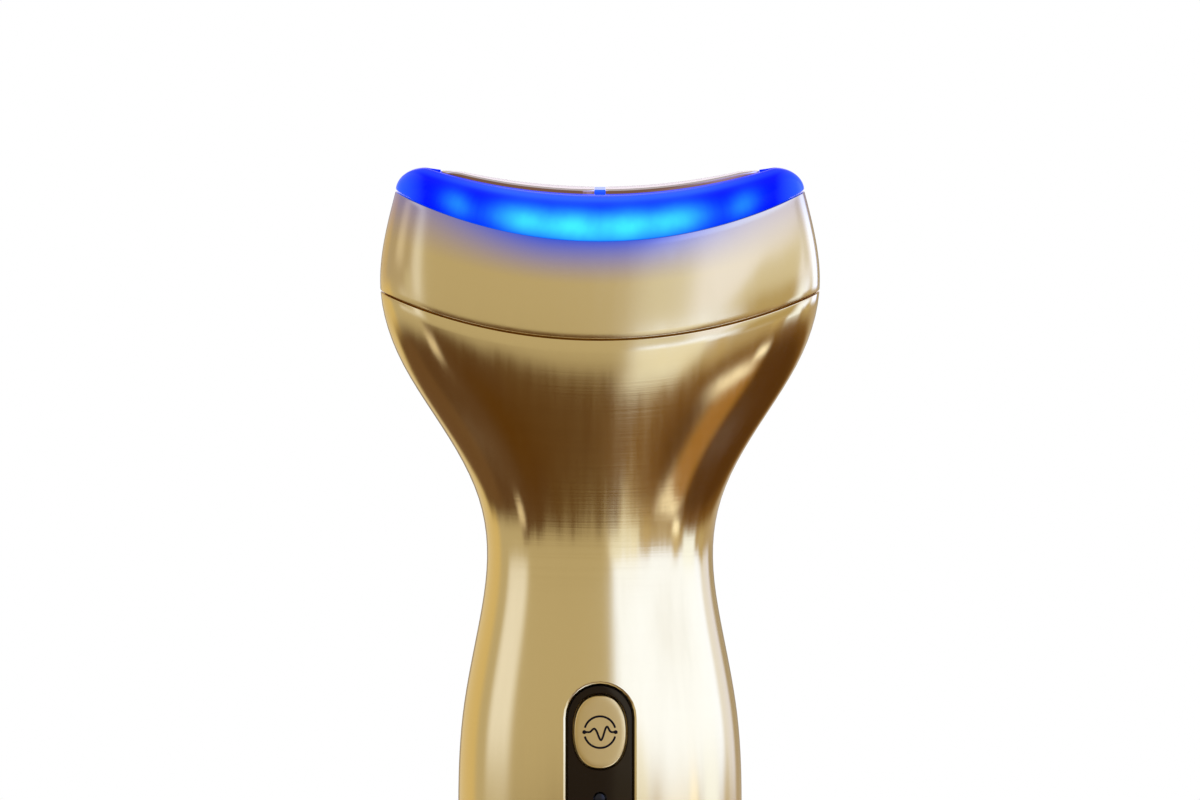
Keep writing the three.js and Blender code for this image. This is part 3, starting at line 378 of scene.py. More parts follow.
def finish_tree(tree, geometry, material):
    """Realizes what the tree made, gives it its material and leads it out."""
    real = add(tree, "GeometryNodeRealizeInstances", {0: geometry})
    painted = add(tree, "GeometryNodeSetMaterial", {"Geometry": real.outputs[0], "Material": material})
    add(tree, "NodeGroupOutput", {0: painted.outputs[0]})
    return tree


def grow(data, maker, **inputs):
    """The plain mesh that a geometry tree makes from a mesh. The tree is made when it is first used."""
    tree = bpy.data.node_groups.get(maker.__name__) or maker(maker.__name__)
    carrier = bpy.data.objects.new("carrier", data)
    bpy.context.scene.collection.objects.link(carrier)
    change = carrier.modifiers.new("form", "NODES")
    change.node_group = tree
    for item in tree.interface.items_tree:
        if item.in_out == "INPUT" and item.name in inputs:
            change[item.identifier] = inputs[item.name]
    view = bpy.context.evaluated_depsgraph_get()
    mesh = bpy.data.meshes.new_from_object(carrier.evaluated_get(view))
    carrier.modifiers.remove(change)
    bpy.data.objects.remove(carrier)
    return mesh


def saddle_rings(name):
    """Bends a net of rings into the body's form: superellipses that lie on a saddle."""
    tree, given = geometry_tree(name, Power="Float", Side="Float", Parting="Float", Material="Material")
    share = calc(tree, "DIVIDE", 2.0, given["Power"])

    def reach(operation, half):
        turn = calc(tree, operation, named(tree, "turn"))
        long = calc(tree, "POWER", calc(tree, "ABSOLUTE", turn), share)
        return times(tree, calc(tree, "SIGN", turn), long, named(tree, half))

    x, flat_y = reach("COSINE", "half_width"), reach("SINE", "half_depth")
    short = calc(tree, "SUBTRACT", given["Parting"], times(tree, flat_y, given["Side"]))
    y = calc(tree, "ADD", flat_y, times(tree, given["Side"], calc(tree, "MAXIMUM", short, 0.0)))
    away = calc(tree, "POWER", calc(tree, "ABSOLUTE", calc(tree, "DIVIDE", x, named(tree, "span"))), 2.0)
    drop = times(tree, named(tree, "dip"), calc(tree, "SUBTRACT", 1.0, away))
    z = calc(tree, "SUBTRACT", named(tree, "level"), drop)
    place = add(tree, "ShaderNodeCombineXYZ", {"X": x, "Y": y, "Z": z}).outputs[0]
    scale = add(tree, "ShaderNodeVectorMath", {0: place, "Scale": MM}, operation="SCALE").outputs[0]
    moved = add(tree, "GeometryNodeSetPosition", {"Geometry": given["Geometry"], "Position": scale})
    merge = add(tree, "GeometryNodeMergeByDistance", {"Geometry": moved.outputs[0], "Distance": SAME})
    return finish_tree(tree, merge.outputs[0], given["Material"])


# Meshes. Points that are no further apart than this, in metres, are one point
SAME = 2e-7


def bands(rows, across, wrap=False, opened=False, flip=False, first=0):
    """Faces between rows of points that lie one after another, from the point numbered first."""
    faces = []
    for r in range(rows if wrap else rows - 1):
        low, high = first + r * across, first + (r + 1) % rows * across
        for c in range(across - opened):
            d = (c + 1) % across
            face = (low + c, low + d, high + d, high + c)
            faces.append((face[0], *face[:0:-1]) if flip else face)
    return faces


def net(points, faces, unit=MM, edges=()):
    """A mesh from points in millimetres, or in another unit."""
    mesh = bpy.data.meshes.new("net")
    mesh.from_pydata((np.array(points, float) * unit).tolist(), edges, faces)
    return mesh


def merged(mesh):
    """Joins points that lie on each other and drops faces that have no area."""
    work = bmesh.new()
    work.from_mesh(mesh)
    bmesh.ops.remove_doubles(work, verts=work.verts, dist=SAME)
    bmesh.ops.dissolve_degenerate(work, edges=work.edges, dist=SAME)
    work.to_mesh(mesh)
    work.free()
    return mesh


def read(items, field="co", kind=float):
    """A field of every item of a mesh, in rows of three."""
    values = np.empty(len(items) * 3, kind)
    items.foreach_get(field, values)
    return values.reshape(-1, 3)


def mark(mesh, kind="FLOAT", **marks):
    """Stores values at every point of a mesh, under their own names."""
    field = {"FLOAT": "value", "FLOAT_VECTOR": "vector", "FLOAT_COLOR": "color"}[kind]
    for name, values in marks.items():
        values = np.asarray(values, np.float32).ravel()
        mesh.attributes.new(name, kind, "POINT").data.foreach_set(field, values)


def place_object(name, mesh):
    """A new object at the origin with this mesh."""
    piece = bpy.data.objects.new(name, mesh)
    mesh.name = name
    bpy.context.scene.collection.objects.link(piece)
    return piece


def ringed(rows, columns, paint_name, side=0, closed_rows=False):
    """A mesh of rings bent by the saddle tree. Side -1 is the front half and 1 the rear half."""
    count, span = len(rows), 2 * math.pi
    if side:
        turns = (0 if side > 0 else math.pi) + np.linspace(0, math.pi, columns + 1)
    else:
        turns = np.linspace(0, span, columns, endpoint=False)
    across = len(turns)
    faces = bands(count, across, wrap=closed_rows, opened=bool(side))
    if side:
        for k in range(count // 2 - 1):
            ladder = [k, k + 1, count - 2 - k, count - 1 - k]
            faces.append([row * across for row in ladder])
            faces.append([row * across + columns for row in reversed(ladder)])
    table, turn = np.repeat(np.array(rows, float), across, axis=0), np.tile(turns, count)
    if not side and not closed_rows:
        first = len(turn) - across
        for c in range(columns):
            d = (c + 1) % columns
            faces += [(d, c, len(turn)), (first + c, first + d, len(turn) + 1)]
        ends = np.array([rows[0], rows[-1]], float)
        ends[:, :2] = 0
        table, turn = np.vstack([table, ends]), np.append(turn, [0, 0])
    mesh = net([(0, 0, i) for i in range(len(turn))], faces, 1.0)
    marks = dict(zip(("half_width", "half_depth", "level", "dip", "span"), table.T), turn=turn)
    mark(mesh, **marks)
    s = bpy.context.scene.device_body
    values = {"Power": s.section_power, "Side": float(side), "Parting": s.parting_gap / MM / 2}
    mesh = grow(mesh, saddle_rings, Material=get_finish(paint_name), **values)
    for name in marks:
        mesh.attributes.remove(mesh.attributes[name])
    return mesh


def slot_ring(radius, half_straight, arc_steps=14, pitch=0.8):
    """A rounded slot outline in X and Z, anticlockwise as seen from the front."""
    side_steps = max(1, math.ceil(2 * half_straight / pitch))
    turns = np.linspace(0, math.pi, arc_steps + 1)
    rise = np.linspace(-half_straight, half_straight, side_steps + 1)
    right = np.stack([np.full(side_steps + 1, radius), rise], 1)
    top = np.stack([radius * np.cos(turns), half_straight + radius * np.sin(turns)], 1)
    half = np.vstack([right[:-1], top[:-1]])
    return np.vstack([half, -half])


def oval_ring(radius, half_straight, steps=96, power=2.3):
    """An oval outline in X and Z, a little fuller than an ellipse, of the same length as the slot."""
    turns = np.linspace(0, 2 * math.pi, steps, endpoint=False)
    across, up = (np.sign(v) * np.abs(v) ** (2 / power) for v in (np.cos(turns), np.sin(turns)))
    return np.stack([radius * across, (radius + half_straight) * up], 1)


def slot_mesh(form, middle, straight, skin, flat, arc_steps=14, pitch=0.8, oval=False):
    """A closed slot-shaped mesh. Its skin rows are radii with depths below the body's front surface, and
    its flat rows are radii with Y itself. The first and last rows close to a line."""
    rings = []
    for k, (radius, place) in enumerate([*skin, *flat]):
        if oval:
            outline = oval_ring(radius, straight * min(1.0, radius / 3.0))
        else:
            outline = slot_ring(radius, straight, arc_steps, pitch)
        x, z = outline[:, 0], outline[:, 1] + middle
        if k < len(skin):
            y = form.front(x, z) + (place(outline) if callable(place) else place)
        else:
            y = np.full(len(x), float(place))
        rings.append(np.stack([x, y, z], 1))
    return merged(net(np.vstack(rings), bands(len(rings), len(rings[0]), flip=True)))


def turned_mesh(profile, sides, axis="Z"):
    """A closed turned mesh from a profile of (radius, height) that starts and ends on the axis."""
    turns = np.linspace(0, 2 * math.pi, sides, endpoint=False)
    points = [(r * math.cos(t), r * math.sin(t), height) for r, height in profile for t in turns]
    if axis == "Y":
        points = [(x, -z, y) for x, y, z in points]
    return merged(net(points, bands(len(profile), sides)))


def block_mesh(low, high):
    """A closed box between two corners, in millimetres."""
    points = [[(low, high)[(i >> k) & 1][k] for k in range(3)] for i in range(8)]
    return net(points, [(0, 2, 3, 1), (4, 5, 7, 6), (0, 1, 5, 4), (2, 6, 7, 3), (0, 4, 6, 2), (1, 3, 7, 5)])


def closed_rings(rings):
    """A mesh from rings of points, closed at both its ends."""
    across, count = len(rings[0]), len(rings)
    ends = [tuple(reversed(range(across))), tuple(range((count - 1) * across, count * across))]
    return net([point for ring in rings for point in ring], ends + bands(count, across))


def carve(piece, mesh, operation="DIFFERENCE"):
    """Cuts a mesh out of a piece, or joins it to the piece."""
    tool = place_object("tool", mesh)
    change = piece.modifiers.new("shape", "BOOLEAN")
    change.operation, change.solver, change.object = operation, "EXACT", tool
    view = bpy.context.evaluated_depsgraph_get()
    made = bpy.data.meshes.new_from_object(piece.evaluated_get(view))
    piece.modifiers.remove(change)
    made.name = piece.name
    piece.data = made
    bpy.data.objects.remove(tool)


def cut_bar(piece, radius, low, high, place, axis="Z", operation="DIFFERENCE", sides=32):
    """Cuts a round bar along Z or Y out of a piece, or joins one to it."""
    low, high = (low, high) if axis == "Z" else (-high, -low)
    bar = turned_mesh([(0, low), (radius, low), (radius, high), (0, high)], sides, axis)
    bar.vertices.foreach_set("co", (read(bar.vertices) + np.array(place) * MM).ravel())
    bar.update()
    carve(piece, bar, operation)


def settle(piece, finish_name, source=None, sharp=35.0, body="housing", replaces=()):
    """Finishes a piece: its material, smooth faces with sharp edges, true normals on the surfaces that a
    cut left, its body and the CAD nodes that it stands for."""
    mesh = piece.data
    mesh.materials.clear()
    mesh.materials.append(get_finish(finish_name))
    mesh.polygons.foreach_set("material_index", np.zeros(len(mesh.polygons), np.int32))
    mesh.shade_smooth()
    mesh.set_sharp_from_angle(angle=math.radians(sharp))
    if source:
        true_normals(mesh, source)
    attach(piece, body)
    if replaces:
        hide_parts(*replaces)


def true_normals(mesh, source, reach=2e-6, least=0.93):
    """Takes the normals of an uncut smooth surface wherever a cut surface still lies on it."""
    source.shade_smooth()
    points, normals = read(source.vertices), read(source.vertex_normals, "vector")
    source.calc_loop_triangles()
    corners = read(source.loop_triangles, "vertices", np.int32)
    finder = BVHTree.FromPolygons(points.tolist(), corners.tolist(), all_triangles=True)
    found = []
    for vertex in mesh.vertices:
        where, _, index, distance = finder.find_nearest(vertex.co)
        if index is None or distance > reach:
            found.append(None)
            continue
        three = corners[index]
        a, b, c = points[three]
        edge_b, edge_c, at = b - a, c - a, np.array(where) - a
        bb, bc, cc = edge_b @ edge_b, edge_b @ edge_c, edge_c @ edge_c
        pb, pc = at @ edge_b, at @ edge_c
        area = bb * cc - bc * bc
        v, w = ((cc * pb - bc * pc) / area, (bb * pc - bc * pb) / area) if area else (0.0, 0.0)
        normal = normals[three[0]] * (1 - v - w) + normals[three[1]] * v + normals[three[2]] * w
        found.append(normal / (np.linalg.norm(normal) or 1.0))
    loops = np.zeros((len(mesh.loops), 3))
    for face in mesh.polygons:
        flat = np.array(face.normal)
        for loop in face.loop_indices:
            normal = found[mesh.loops[loop].vertex_index]
            if normal is not None and normal @ flat > least:
                loops[loop] = normal
    mesh.normals_split_custom_set(loops.tolist())


def mark_heights(piece, form):
    """Stores, at every point, the height at the body's ends of the line that it lies on."""
    points = read(piece.data.vertices) / MM
    mark(piece.data, line=form.height_of(points[:, 0], points[:, 2]) * MM)


# Materials
def blank(owner):
    """The emptied node tree of a material or world."""
    owner.use_nodes = True
    owner.node_tree.nodes.clear()
    return owner.node_tree


def finish(name):
    """A new node material with one Principled shader, and its tree."""
    made = bpy.data.materials.new(name)
    tree = blank(made)
    shader = add(tree, "ShaderNodeBsdfPrincipled")
    add(tree, "ShaderNodeOutputMaterial", {0: shader.outputs[0]})
    return made, tree, shader


def fill(shader, **values):
    """Feeds a shader's sockets, named with underscores."""
    feed(shader, {key.replace("_", " "): value for key, value in values.items()})


def blend(tree, factor, first, second):
    """A colour mix. Colours are given as three numbers or as links."""
    values = {0: factor, 6: first, 7: second}
    return add(tree, "ShaderNodeMix", values, data_type="RGBA", blend_type="MIX").outputs[2]


def spread(tree, value, low, high, to_low=0.0, to_high=1.0, kind="SMOOTHSTEP"):
    """Maps a value from one span to another, and holds it at both ends."""
    values = {"Value": value, "From Min": low, "From Max": high, "To Min": to_low, "To Max": to_high}
    return add(tree, "ShaderNodeMapRange", values, interpolation_type=kind).outputs[0]


def attribute(tree, name, output="Fac"):
    """A value that a material reads from the points."""
    return add(tree, "ShaderNodeAttribute", attribute_name=name).outputs[output]


def here(tree):
    """Object coordinates, whole and as X, Y and Z."""
    place = add(tree, "ShaderNodeTexCoord").outputs["Object"]
    return place, *add(tree, "ShaderNodeSeparateXYZ", {0: place}).outputs


def noise(tree, vector, scale, detail=2.0, rough=0.5):
    """Soft noise at a scale, from 0 to 1."""
    values = {"Vector": vector, "Scale": scale, "Detail": detail, "Roughness": rough}
    return add(tree, "ShaderNodeTexNoise", values).outputs[0]


def bump(tree, height, strength, distance, **more):
    """A normal that is bent by a height."""
    values = {"Height": height, "Strength": strength, "Distance": distance, **more}
    return add(tree, "ShaderNodeBump", values).outputs[0]


def brushed_gold(name, glow=False):
    """Gold brushed round the body along the lines of equal height, with faint upright streaks. With glow,
    the cap's blue light is painted on the gold below the rim, as emission and a dark blue tint.
    """
    c, body = sizes("finishes"), sizes("body")
    neck = body.neck_height
    made, tree, shader = finish(name)
    _, x, y, z = here(tree)
    line, away = attribute(tree, "line"), calc(tree, "ABSOLUTE", x)

    def ramp(value, low, high, *ends):
        return spread(tree, value, low * MM, high * MM, *ends)

    def grain(around, upwards, height, detail):
        place = [times(tree, v, k) for v, k in ((x, around), (y, around), (height, upwards))]
        at = add(tree, "ShaderNodeCombineXYZ", dict(enumerate(place)))
        return noise(tree, at.outputs[0], 1.0, detail, 0.55)

    arcs, streaks = grain(45.0, 3000.0, line, 2.0), grain(900.0, 22.0, z, 3.0)
    rise_low = ramp(z, neck - 7.0, neck + 3.0)
    rise_high = ramp(z, neck + 20.0, body.seam_height - 7.0, 1.0, 0.0)
    flare = times(tree, rise_low, rise_high, ramp(away, 9.0, 15.0, 1.0, 0.35))
    dark = tuple(0.8 * a + 0.2 * b for a, b in zip(c.gold, c.gold_dark))
    groove = times(tree, spread(tree, arcs, 0.3, 0.6, 1.0, 0.0), spread(tree, flare, 0, 1, 0.12, 1))
    gold = blend(tree, groove, c.gold, dark)
    # Painted light: the cap's blue light on the gold below the rim, as emission and a dark blue tint of the
    # base colour, strongest in the middle
    if glow:
        rise = ramp(line, body.rim_height - 6.0, body.rim_height, 0.0, 1.0, "LINEAR")
        side = times(tree, ramp(away, 6.0, 26.0, 0.90, 0.36), ramp(x, 2.0, 22.0, 1.0, 0.6))
        light = times(tree, calc(tree, "POWER", rise, 1.5), side)
        gold = blend(tree, calc(tree, "POWER", light, 0.85), gold, (0.0, 0.01, 0.08))
        fill(shader, Emission_Color=blend(tree, light, (0, 0, 0), c.glow), Emission_Strength=0.7)
        rough = spread(tree, streaks, 0.3, 0.7, 0.17, 0.20)
    else:
        rough = spread(tree, streaks, 0.3, 0.7, 0.165, 0.195)
        rough = times(tree, rough, spread(tree, rise_low, 0.2, 1.0, 1.0, 0.7))
    tilt = times(tree, rise_low, ramp(z, neck + 4.0, neck + 16.0, 1.0, 0.25), 0.055)
    push = add(tree, "ShaderNodeCombineXYZ", {2: times(tree, calc(tree, "SUBTRACT", streaks, 0.5), tilt)})
    facing = add(tree, "ShaderNodeNewGeometry").outputs["Normal"]
    tilted = add(tree, "ShaderNodeVectorMath", {0: facing, 1: push.outputs[0]}, operation="ADD")
    level = add(tree, "ShaderNodeVectorMath", {0: tilted.outputs[0]}, operation="NORMALIZE")
    fill(
        shader,
        Base_Color=gold,
        Metallic=1.0,
        Roughness=rough,
        Anisotropic=0.2 if glow else 0.5,
        Anisotropic_Rotation=0.25,
        Tangent=add(tree, "ShaderNodeTangent", direction_type="RADIAL", axis="Z").outputs[0],
        Normal=bump(tree, arcs, spread(tree, flare, 0, 1, 0.01, 0.17), 0.00002, Normal=level.outputs[0]),
    )
    return made


def key_gold(name):
    """Satin gold of the push keys, finely spun."""
    colour = sizes("finishes").key
    made, tree, shader = finish(name)
    place, *_ = here(tree)
    light = tuple(min(1.0, 1.06 * v) for v in colour)
    rough = spread(tree, noise(tree, place, 2600.0), 0.3, 0.7, 0.29, 0.33)
    base = blend(tree, noise(tree, place, 300.0), colour, light)
    fill(shader, Base_Color=base, Roughness=rough, Metallic=1.0)
    return made


def lit_cap(name):
    """Translucent blue plastic; the light of the six lamps below it is painted on as emission, with a
    painted highlight along its upper edge.
    """
    c = sizes("finishes")
    made, tree, shader = finish(name)
    place, *_ = here(tree)
    # pale marks the painted highlight along the upper edge and the paler painted light at the ends and the
    # divider
    pale = attribute(tree, "pale")
    cloud = spread(tree, noise(tree, place, 420.0), 0.3, 0.7, 0.94, 1.06)
    deep = blend(tree, pale, c.lit_deep, c.lit_ends)
    lit = spread(tree, times(tree, attribute(tree, "lamp"), cloud), 0.0, 1.15, kind="LINEAR")
    fill(
        shader,
        Base_Color=blend(tree, pale, (0.0, 0.002, 0.12), (0.01, 0.04, 0.2)),
        Emission_Color=blend(tree, lit, deep, c.lit_lamp),
        Emission_Strength=1.0,
        Roughness=spread(tree, cloud, 0.94, 1.06, 0.10, 0.16),
        IOR=1.45,
        Specular_IOR_Level=0.03,
    )
    return made


def plate_metal(name):
    """Bright polished metal, with a dark warm reflection painted on its sides."""
    c = sizes("finishes")
    made, tree, shader = finish(name)
    coordinates = add(tree, "ShaderNodeTexCoord").outputs
    up = add(tree, "ShaderNodeSeparateXYZ", {0: coordinates["Normal"]}).outputs[2]
    haze = noise(tree, coordinates["Object"], 900.0)
    top = blend(tree, haze, c.plate, tuple(0.96 * v for v in c.plate))
    fill(
        shader,
        # The sides, found by their normals, take the painted reflection colour
        Base_Color=blend(tree, spread(tree, up, 0.35, 0.75), c.plate_edge, top),
        Roughness=spread(tree, haze, 0.3, 0.7, 0.07, 0.13),
        Metallic=1.0,
    )
    return made


def plain_finish(key, rough, scale=1500.0, metal=0.0, relief=0.05, depth=0.00002, spot=0.06, **more):
    """A maker of a finish with fine grain: its colour, gloss and surface all vary a little."""

    def maker(name):
        colour = getattr(sizes("finishes"), key)
        made, tree, shader = finish(name)
        place, *_ = here(tree)
        grain, wide = noise(tree, place, scale, 3.0), noise(tree, place, scale / 9)
        dark, pale = (tuple(min(1.0, v * (1 + k * spot)) for v in colour) for k in (-1, 1))
        gloss = spread(tree, grain, 0.3, 0.7, rough * 0.85, rough * 1.15)
        fill(shader, Base_Color=blend(tree, wide, dark, pale), Roughness=gloss, Metallic=metal, **more)
        fill(shader, Normal=bump(tree, grain, relief, depth))
        return made

    return maker


def circuit_board(name):
    """Green lacquer over copper tracks, with bright pads."""
    colour = sizes("finishes").board
    made, tree, shader = finish(name)
    place, *_ = here(tree)
    values = {"Vector": place, "Scale": 320.0, "Mortar Size": 0.03, "Bias": 0.1}
    tracks = add(tree, "ShaderNodeTexBrick", values).outputs["Fac"]
    weave = noise(tree, place, 2400.0)
    base = blend(tree, tracks, colour, tuple(min(1.0, 1.7 * v + 0.01) for v in colour))
    base = blend(tree, times(tree, weave, 0.2), base, (0.0, 0.03, 0.015))
    normal = bump(tree, calc(tree, "ADD", tracks, weave), 0.15, 0.00003)
    fill(shader, Base_Color=base, Roughness=0.35, Normal=normal)
    return made


def get_finish(name):
    """The finish of this name, made when it is first asked for."""
    return bpy.data.materials.get(name) or FINISH_MAKERS[name](name)


WARM_GLINT = {"Specular_IOR_Level": 0.3, "Specular_Tint": (1.0, 0.6, 0.16)}
FINISH_MAKERS = {
    "body_gold": brushed_gold,
    # The crown's gold carries painted blue light below the rim
    "crown_gold": lambda name: brushed_gold(name, glow=True),
    "key_gold": key_gold,
    "lit_cap": lit_cap,
    "plate_metal": plate_metal,
    "strip_gloss": plain_finish("strip", 0.13, scale=700.0, relief=0.02, **WARM_GLINT),
    # Dark brown painted shade for the tongues in the seams
    "seam_bronze": plain_finish("bronze", 0.45, metal=1.0, scale=2000.0),
    "sign_ink": plain_finish("sign", 0.5, scale=4000.0, Specular_IOR_Level=0.08),
    "soft_rubber": plain_finish("rubber", 0.8, scale=3000.0, relief=0.3, depth=0.00005),
    "screw_steel": plain_finish("steel", 0.3, metal=1.0, scale=3000.0),
    "copper": plain_finish("copper", 0.32, metal=1.0, scale=2500.0),
    "circuit_green": circuit_board,
    "cell_wrap": plain_finish("wrap", 0.35, scale=900.0),
    "black_plastic": plain_finish("black_plastic", 0.55, relief=0.25, depth=0.00004),
    "white_plastic": plain_finish("white_plastic", 0.5, relief=0.15),
    "smoked_plastic": plain_finish("smoked", 0.16, scale=2000.0, relief=0.02, Specular_IOR_Level=0.25),
    "lamp_resin": plain_finish("resin", 0.25, Coat_Weight=0.3),
}


# Operators, one for each group of pieces
class DEVICE_OT_shells(bpy.types.Operator):
    """Makes the front and rear shells, split at the sides, and the tongues that close their seams"""

    bl_idname = "device.shells"
    bl_label = "Body shells"

    def execute(self, context):
        form, cap_height = BodyForm(), sizes("base").cap_height
        s = form.s
        low, high = cap_height + s.seam_gap / 2, s.seam_height - s.seam_gap / 2
        outer = wall_points(low, high, BODY_PITCH, s.edge_radius)
        last = len(outer) - 1
        inner = [(low + (high - low) * i / last, s.wall) for i in range(last, -1, -1)]
        shells = (
            ("body_front_skin", "front_shell", -1, cut_window),
            ("body_rear_skin", "rear_shell", 1, add_bosses),
        )
        for name, node, side, shape in shells:
            mesh = ringed(form.rows(outer + inner), BODY_STEPS, "body_gold", side, closed_rows=True)
            piece = place_object(name, mesh)
            source = mesh.copy()
            shape(piece, form)
            mark_heights(piece, form)
            settle(piece, "body_gold", source, replaces=[node])
        around = ((-0.3, 0.6), (0.3, 0.6), (0.3, 1.4), (-0.3, 1.4))
        tongues = {}
        for name, height in (("seam_tongue", s.seam_height), ("base_tongue", cap_height)):
            rows = form.rows([(height + rise, inset) for rise, inset in around])
            tongues[name] = ringed(rows, 2 * BODY_STEPS, "seam_bronze", closed_rows=True)
        for name, side in (("parting_tongue_left", -1), ("parting_tongue_right", 1)):
            tongues[name] = tongue_mesh(form, low, high, side)
        for name, mesh in tongues.items():
            # The tongues stand for the shells' own tongues; their dark brown is painted shade in the seams
            settle(place_object(name, mesh), "seam_bronze")
        return {"FINISHED"}


def tongue_mesh(form, low, high, side, near=0.5, far=1.3, lap=0.02, margin=0.2):
    """A closed upright tongue that fills the gap between the shells, a little below their surface."""
    half = form.s.parting_gap / 2 + lap
    rings = []
    for height in levels(low + margin, high - margin, BODY_PITCH):
        reach, _, _, dip, span = form.row(height)
        ring = []
        for inset, y in ((near, -half), (near, half), (far, half), (far, -half)):
            x = reach - inset
            ring.append((side * x, side * y, height - dip * (1 - (x / span) ** 2)))
        rings.append(ring)
    return closed_rings(rings)


def cut_window(piece, form, fit=0.3, slope=0.26, depth=0.13, above=0.5, sunk=0.7, inside=-5.0):
    """Joins the strip's seat to the front shell and cuts the window, with an even chamfer on its edge."""
    strip, seat = sizes("controls"), form.seat
    half = strip.strip_width / 2
    outer, gap = half + FLANGE + fit, half + fit
    mouth = gap + slope + above * slope / depth
    shapes = (
        ("UNION", [(0, sunk), (outer, sunk)], [(outer, seat), (0, seat)]),
        ("DIFFERENCE", [(0, -above), (mouth, -above), (gap, depth)], [(gap, seat + 2), (0, seat + 2)]),
        ("DIFFERENCE", [], [(0, seat), (outer, seat), (outer, inside), (0, inside)]),
    )
    for operation, skin, flat in shapes:
        mesh = slot_mesh(form, strip.strip_middle, strip.strip_length / 2 - half, skin, flat)
        carve(piece, mesh, operation)


def add_bosses(piece, form):
    """Joins the four screw bosses to the rear shell and bores them."""
    boss, boss_front, into_wall = 2.2, -3.3, 0.9
    bore, bore_front, bore_back = 1.1, -5.3, 2.7
    for i in range(1, 5):
        low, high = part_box("board_screw_%d" % i)
        x, z = (low.x + high.x) / 2 / MM, (low.z + high.z) / 2 / MM
        wall = -float(form.front(abs(x), z)) - into_wall
        cut_bar(piece, boss, boss_front, wall, (x, 0, z), "Y", "UNION")
        cut_bar(piece, bore, bore_front, bore_back, (x, 0, z), "Y", sides=24)


class DEVICE_OT_crown(bpy.types.Operator):
    """Makes the gold crown between the seam and the light cap's rim, with the ledge inside it"""

    bl_idname = "device.crown"
    bl_label = "Crown"

    def execute(self, context):
        form = BodyForm()
        s = form.s
        low, high = s.seam_height + s.seam_gap / 2, s.rim_height - s.seam_gap / 2
        ledge_low, ledge_high, ledge = 160.2, 161.4, 3.3
        inner = [(high, s.wall), (ledge_high, s.wall), (ledge_high, ledge)]
        inner += [(ledge_low, ledge), (ledge_low, s.wall), (low, s.wall)]
        rows = form.rows(wall_points(low, high, CROWN_PITCH, s.edge_radius) + inner)
        # The crown's finish paints the cap's blue light on the gold below the rim
        piece = place_object("head_crown", ringed(rows, 2 * BODY_STEPS, "crown_gold", closed_rows=True))
        mark_heights(piece, form)
        settle(piece, "crown_gold", replaces=["head_collar"])
        return {"FINISHED"}


class DEVICE_OT_base(bpy.types.Operator):
    """Makes the base cap with its port slot and screw recesses, and the rubber foot"""

    bl_idname = "device.base"
    bl_label = "Base and foot"

    def execute(self, context):
        form, b = BodyForm(), sizes("base")
        s = form.s
        top, floor = b.cap_height - s.seam_gap / 2, b.bottom + b.floor
        outer = wall_points(b.bottom, top, BODY_PITCH, s.edge_radius, b.edge, 8)
        inner = [(top, s.wall), (floor + 0.6, s.wall), (floor, s.wall + 0.6)]
        piece = place_object("base_cup", ringed(form.rows(outer + inner), 2 * BODY_STEPS, "body_gold"))
        source = piece.data.copy()
        self.finish_inside(piece, b)
        carve(piece, foot_mesh(b, 0.3, -1.0, 0.0))
        mark_heights(piece, form)
        settle(piece, "body_gold", source, replaces=["base_cap"])
        pad = place_object("foot_ring", foot_mesh(b, 0.0, 0.0, 0.25))
        settle(pad, "soft_rubber", replaces=["foot_pad"])
        return {"FINISHED"}

    def finish_inside(self, piece, b):
        """Posts, ribs, screw bores and the port's slot."""
        floor_inside = b.bottom + b.floor / 2
        post, post_top, bore, bore_top, recess, recess_top = 2.32, 10.1, 1.1, 12, 1.8, 2.5
        rib_top, rib_outer, rib, rib_half, under = 8.6, 6.2, 1.4, 4, -1
        for side in (-1, 1):
            place = (side * b.screw_offset, 0, 0)
            cut_bar(piece, post, floor_inside, post_top, place, operation="UNION")
            left, right = sorted((side * rib_outer, side * (rib_outer - rib)))
            carve(piece, block_mesh((left, -rib_half, floor_inside), (right, rib_half, rib_top)), "UNION")
            cut_bar(piece, bore, under, bore_top, place, sides=24)
            cut_bar(piece, recess, under, recess_top, place)
        rings, straight = [], (b.slot_width - b.slot_depth) / 2
        for z, wider in ((under, 0.5), (0.55, 0.25), (0.8, 0.0), (6, 0.0)):
            outline = slot_ring(b.slot_depth / 2 + wider, straight, arc_steps=12, pitch=50.0)
            rings.append([(up, -across, z) for across, up in outline])
        carve(piece, closed_rings(rings))


def foot_mesh(b, gap, low, r):
    """The foot's oval band with rounded lower edges, or the recess that it lies in."""
    half, deep = b.foot_width / 2 + gap, b.foot_depth / 2 + gap
    high, band = b.foot_thickness, b.foot_band + 2 * gap
    points = [(low, r), (low + r, 0.0), (high, 0.0), (high, band), (low + r, band), (low, band - r)]
    if not r:
        points = [points[i] for i in (0, 2, 3, 5)]
    rows = [(half - inset, deep - inset, z, 0.0, half) for z, inset in points]
    return ringed(rows, 96, "soft_rubber", closed_rows=True)


# Radius of the plates' studs, heights between which the cap is bored for them, and half the depth of the
# divider between the plates
STUD, STUD_BORE, DIVIDER_HALF = 1.2, (155, 168), 3.2


